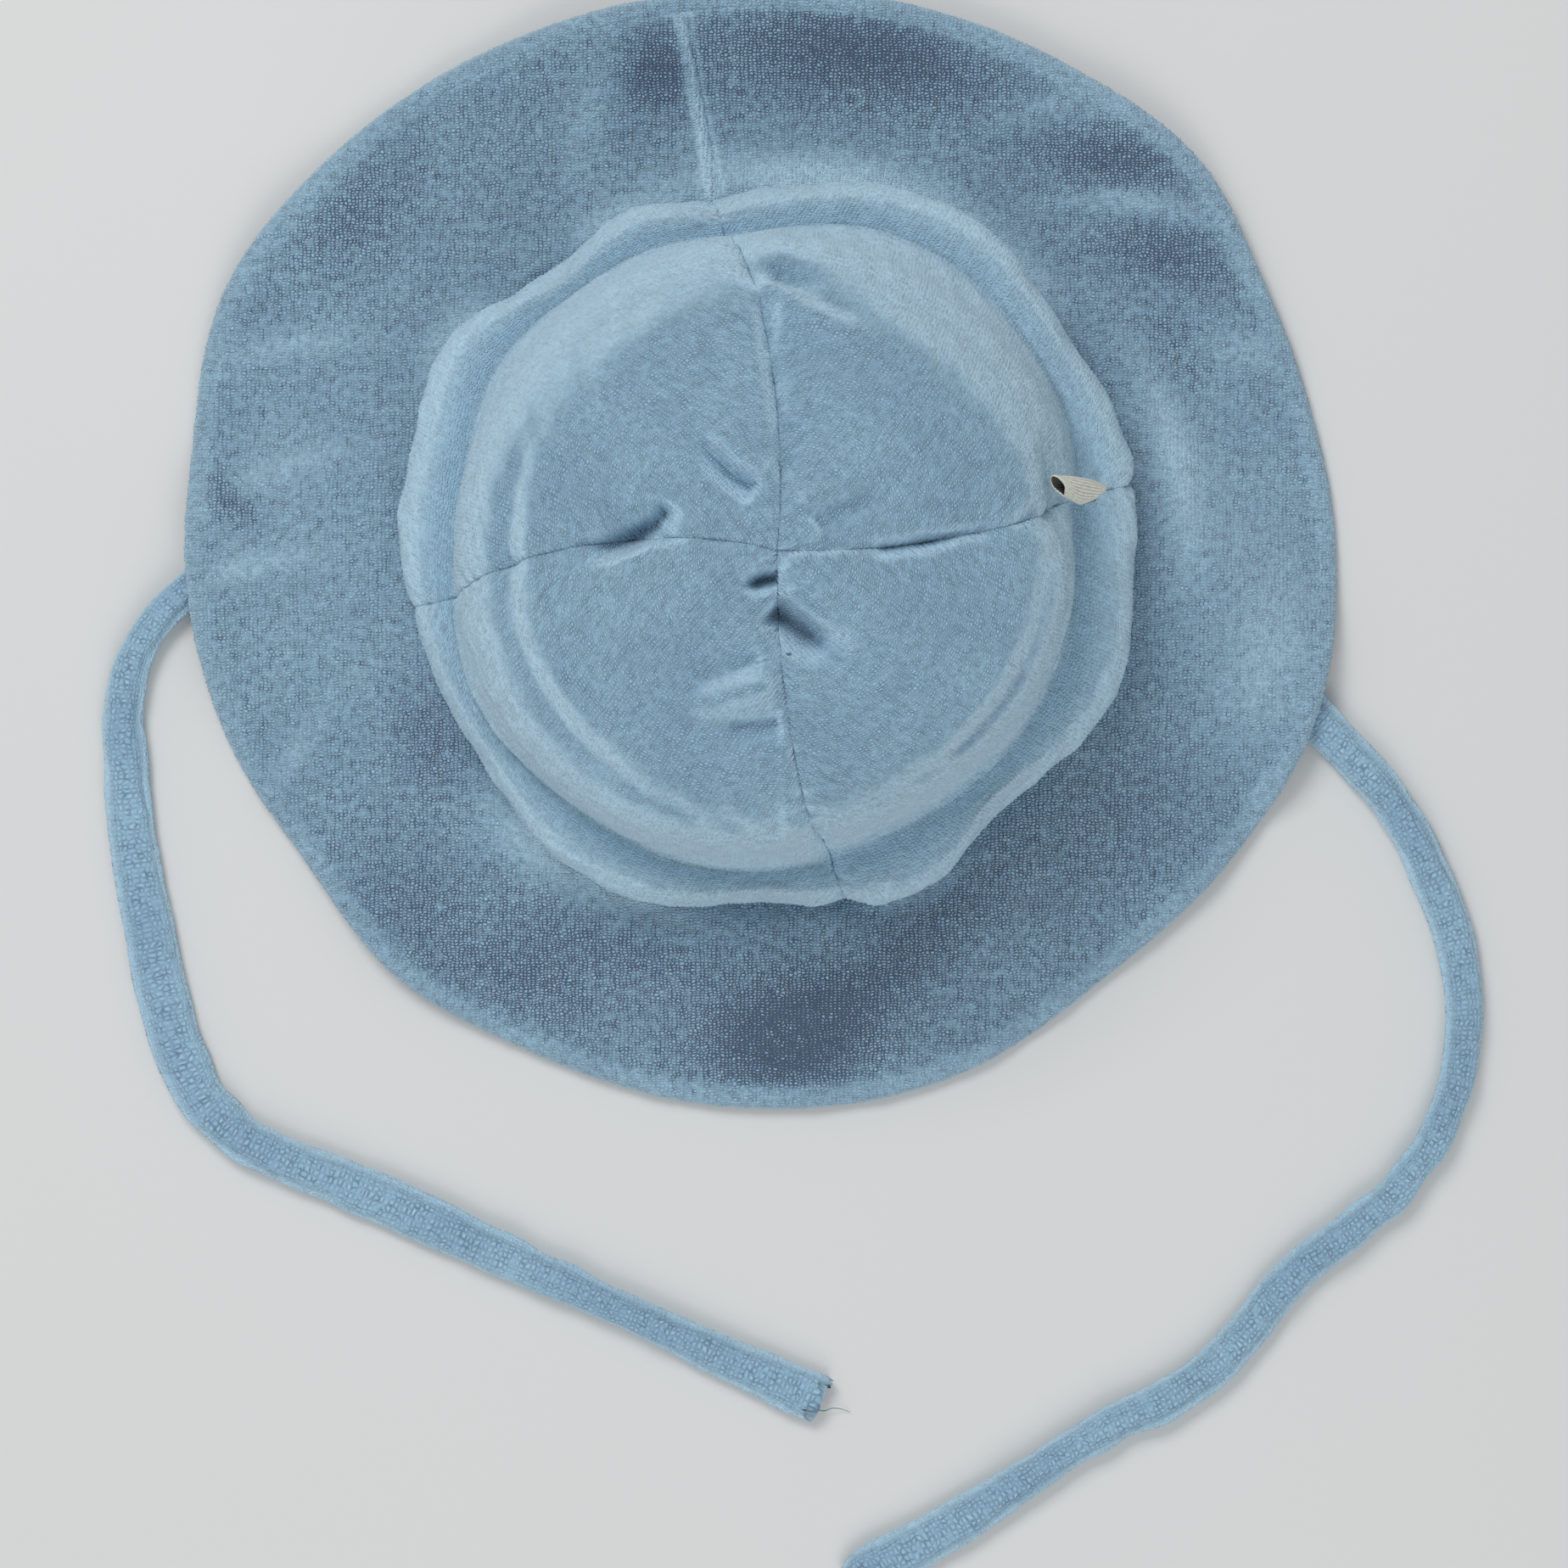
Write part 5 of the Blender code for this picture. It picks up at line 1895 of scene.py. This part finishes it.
    def make_ring(self, ties: Sequence[Tie]) -> bpy.types.Object:
        """Spins the brim's section into a ring: its underside and its round rim.

        Args:
            ties: the ties that the brim lies over.

        Returns:
            The ring, which replaces the brim's CAD node.
        """
        body = bmesh.new()
        outline = [body.verts.new((across + 1.0, 0.0, side)) for across, side in self.section()]
        edges = [body.edges.new(pair) for pair in zip(outline, outline[1:] + outline[:1])]
        bmesh.ops.spin(
            body,
            geom=outline + edges,
            cent=(0.0, 0.0, 0.0),
            axis=(0.0, 0.0, 1.0),
            angle=2.0 * math.pi,
            steps=self.steps,
            use_merge=True,
        )
        blank = np.array([vertex.co for vertex in body.verts])
        angles = np.degrees(np.arctan2(blank[:, 1], blank[:, 0]))
        across = np.hypot(blank[:, 0], blank[:, 1]) - 1.0
        side = blank[:, 2]
        inset = (1.0 - across) * self.sizes.brim_width
        covered = smooth_step((inset - self.band) / self.band_step)
        right, back = self.plan(angles, across)
        under = self.underside(angles, across, ties)
        thickness = self.loft(angles, across) - self.sunk * covered
        column = np.rint(np.mod(angles, 360.0) / 360.0 * self.steps)
        course = np.rint(inset / self.pile.course_pitch + 7.0 * side)
        banded = smooth_step((self.band + self.band_step - inset) / self.band_step)
        banded *= smooth_step(side / 0.3)
        loops = self.pile.loft_at(column, course) * banded
        lean = np.clip(2.0 * side - 1.0, 0.0, 1.0)
        outward = np.sqrt(1.0 - lean**2) * (inset < 0.5 * self.sizes.brim_thickness)
        heading = np.radians(angles)
        points = np.stack(
            [
                right + loops * outward * np.cos(heading),
                back + loops * outward * np.sin(heading),
                under + side * thickness + loops * lean,
            ],
            axis=-1,
        )
        over_rim = (1.0 - side) * self.sizes.brim_thickness
        round_place = np.stack([np.cos(heading), np.sin(heading)], axis=-1)
        lay_cloth_map(body, np.stack([right, back], axis=-1) + round_place * over_rim[:, None])
        # The rim band's pile depth, painted darker as shade between the loops, and painted light on the
        # rolled rim, strongest round its edge and below
        depth = (1.0 - loops / self.pile.height) * banded + 0.4 * (1.0 - banded)
        note_on_vertices(body, DEPTH_NOTE, depth)
        note_on_vertices(body, PAINTED_SHADING_NOTE, -banded * (0.30 + 0.45 * (1.0 - lean)))
        move_vertices(body, points)
        bmesh.ops.recalc_face_normals(body, faces=body.faces[:])
        piece = piece_from("brim_cloth", body, self.finish)
        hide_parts("brim")
        return piece

    def make_nap(self, ties: Sequence[Tie]) -> bpy.types.Object:
        """Cuts the brim's upper face, whose rows run from front to back, and lays it on the ring.

        Args:
            ties: the ties that the brim lies over.

        Returns:
            The upper face.
        """
        rim_limit = 1.0 - self.nap_edge / self.sizes.brim_width

        def trim(places: np.ndarray) -> tuple[np.ndarray, np.ndarray]:
            """Moves cloth places onto the brim, and marks those that were off it by their side.

            Args:
                places: cloth places, a row each.

            Returns:
                The moved places, and the side that each was on, or 0.
            """
            angles, across = self.ring_place(places[:, 0], places[:, 1])
            side = (across > rim_limit).astype(float) - (across < self.nap_inner)
            right, back = self.plan(angles, np.clip(across, self.nap_inner, rim_limit))
            moved = np.where((side != 0.0)[:, None], np.stack([right, back], axis=-1), places)
            return moved, side

        def drape(places: np.ndarray) -> np.ndarray:
            """The points of the brim's top under cloth places, tucked in at the rim.

            Args:
                places: cloth places, a row each.

            Returns:
                The points, a row each.
            """
            angles, across = self.ring_place(places[:, 0], places[:, 1])
            inset = (1.0 - across) * self.sizes.brim_width
            tucked = 1.0 - smooth_step((inset - self.nap_edge) / (self.band - self.nap_edge))
            height = self.underside(angles, across, ties) + self.loft(angles, across) - self.sunk * tucked
            return np.stack([places[:, 0], places[:, 1], height], axis=-1)

        def painted_shading(places: np.ndarray) -> np.ndarray:
            """The painted light and shade: as the brim's patches say, and painted light along the rim.

            Args:
                places: cloth places, a row each.

            Returns:
                Values from 1 for full painted shade to -1 for full painted light.
            """
            angles, across = self.ring_place(places[:, 0], places[:, 1])
            # Painted light along the rim band
            banded = smooth_step((across - self.edge_start) / self.edge_fade)
            return self.painted_shading(angles, across) * (1.0 - banded) - self.rim_painted_light * banded

        low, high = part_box("brim")
        body = cut_terry(low[:2], high[:2], self.pile, trim)
        drape_terry(body, self.pile, drape, painted_shading)
        turn_up(body)
        piece = piece_from("brim_nap_cloth", body, self.finish)
        give_wall(piece, self.nap_wall)
        return piece

    def build(self, ties: Sequence[Tie]) -> list[bpy.types.Object]:
        """Makes the ring and its upper face.

        Args:
            ties: the ties that the brim lies over.

        Returns:
            The two pieces.
        """
        return [self.make_ring(ties), self.make_nap(ties)]


@dataclass
class Studio:
    """The pale floor, the soft lights and the overhead camera."""

    camera_right: float = 0.0051
    camera_back: float = -0.0536
    camera_height: float = 1.30
    view_width: float = 0.3604
    sensor: float = 36.0

    def build_camera(self) -> None:
        """Sets the camera straight above the hat, with the back of the hat at the top of the frame."""
        data = bpy.data.cameras.new("overhead")
        data.sensor_width = self.sensor
        data.lens = self.sensor * self.camera_height / self.view_width
        camera = bpy.data.objects.new("overhead", data)
        camera.location = (self.camera_right, self.camera_back, self.camera_height)
        bpy.context.scene.collection.objects.link(camera)
        bpy.context.scene.camera = camera

    def build_floor(self) -> None:
        """Lays the floor and gives it a plain pale finish."""
        body = bmesh.new()
        bmesh.ops.create_grid(body, x_segments=1, y_segments=1, size=2.5)
        bmesh.ops.translate(body, verts=body.verts[:], vec=(0.0, 0.0, -0.0002))
        mesh = bpy.data.meshes.new("floor")
        body.to_mesh(mesh)
        body.free()
        material, _, shader = start_finish("Pale floor")
        shader.inputs["Base Color"].default_value = (0.74, 0.74, 0.73, 1.0)
        shader.inputs["Roughness"].default_value = 0.85
        mesh.materials.append(material)
        floor = bpy.data.objects.new("floor", mesh)
        bpy.context.scene.collection.objects.link(floor)

    def add_softbox(self, name: str, place: tuple[float, float, float], size: float, power: float) -> None:
        """Hangs a square soft light that faces the hat.

        Args:
            name: the light's name.
            place: where it hangs.
            size: the length of its sides.
            power: its power in watts.
        """
        data = bpy.data.lights.new(name, "AREA")
        data.size = size
        data.energy = power
        light = bpy.data.objects.new(name, data)
        light.location = place
        light.rotation_euler = Vector(place).to_track_quat("Z", "Y").to_euler()
        bpy.context.scene.collection.objects.link(light)

    def build_lights(self) -> None:
        """Hangs the lights: the main one beyond the back of the hat, and a weaker one before its front."""
        self.add_softbox("key", (-0.48, 0.82, 1.30), 0.7, 11.0)
        self.add_softbox("front_fill", (0.10, -1.15, 0.98), 1.0, 6.0)
        world = bpy.data.worlds.new("studio")
        world.use_nodes = True
        world.node_tree.nodes["Background"].inputs["Color"].default_value = (0.93, 0.97, 1.0, 1.0)
        world.node_tree.nodes["Background"].inputs["Strength"].default_value = 0.44
        bpy.context.scene.world = world
        bpy.context.scene.view_settings.view_transform = "Standard"

    def build(self) -> None:
        """Sets up the whole studio."""
        self.build_camera()
        self.build_floor()
        self.build_lights()


def main() -> None:
    """Loads the frame and dresses it, piece by piece."""
    logging.basicConfig(level=logging.INFO, format="%(message)s")
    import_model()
    Studio().build()
    sizes = HatSizes.from_frame()
    crown_terry = TerryFinish(
        name="Blue terry crown",
        gap_shade=0.52,
        gap_start=0.30,
        loop_pitch=(0.00092, 0.00056),
        loop_height=0.00032,
    ).build()
    brim_terry = TerryFinish(name="Blue terry brim").build()
    tie_terry = TerryFinish(
        name="Blue terry tie",
        gap_shade=0.58,
        gap_start=0.30,
        loop_pitch=(0.00085, 0.00115),
        loop_height=0.00030,
    ).build()
    tape = TapeFinish().build()
    tape_inside = TapeFinish(
        name="Dark tape inside", yarn=(0.085, 0.085, 0.080), shadow=(0.030, 0.030, 0.030)
    ).build()
    ties = [
        Tie("tie_left_cloth", "tie_left", LEFT_TIE_ROUTE, LEFT_TIE_GIRTHS, tie_terry, frayed=True),
        Tie("tie_right_cloth", "tie_right", RIGHT_TIE_ROUTE, RIGHT_TIE_GIRTHS, tie_terry),
    ]
    for tie in ties:
        LOG.info("%s, %.0f mm long", tie.build().name, 1000.0 * tie.length())
    for piece in Brim(sizes, brim_terry).build(ties):
        LOG.info("%s", piece.name)
    for piece in Crown(sizes, crown_terry).build():
        LOG.info("%s", piece.name)
    LOG.info("%s", SideLabel(tape, tape_inside).build().name)


if __name__ == "__main__":
    main()
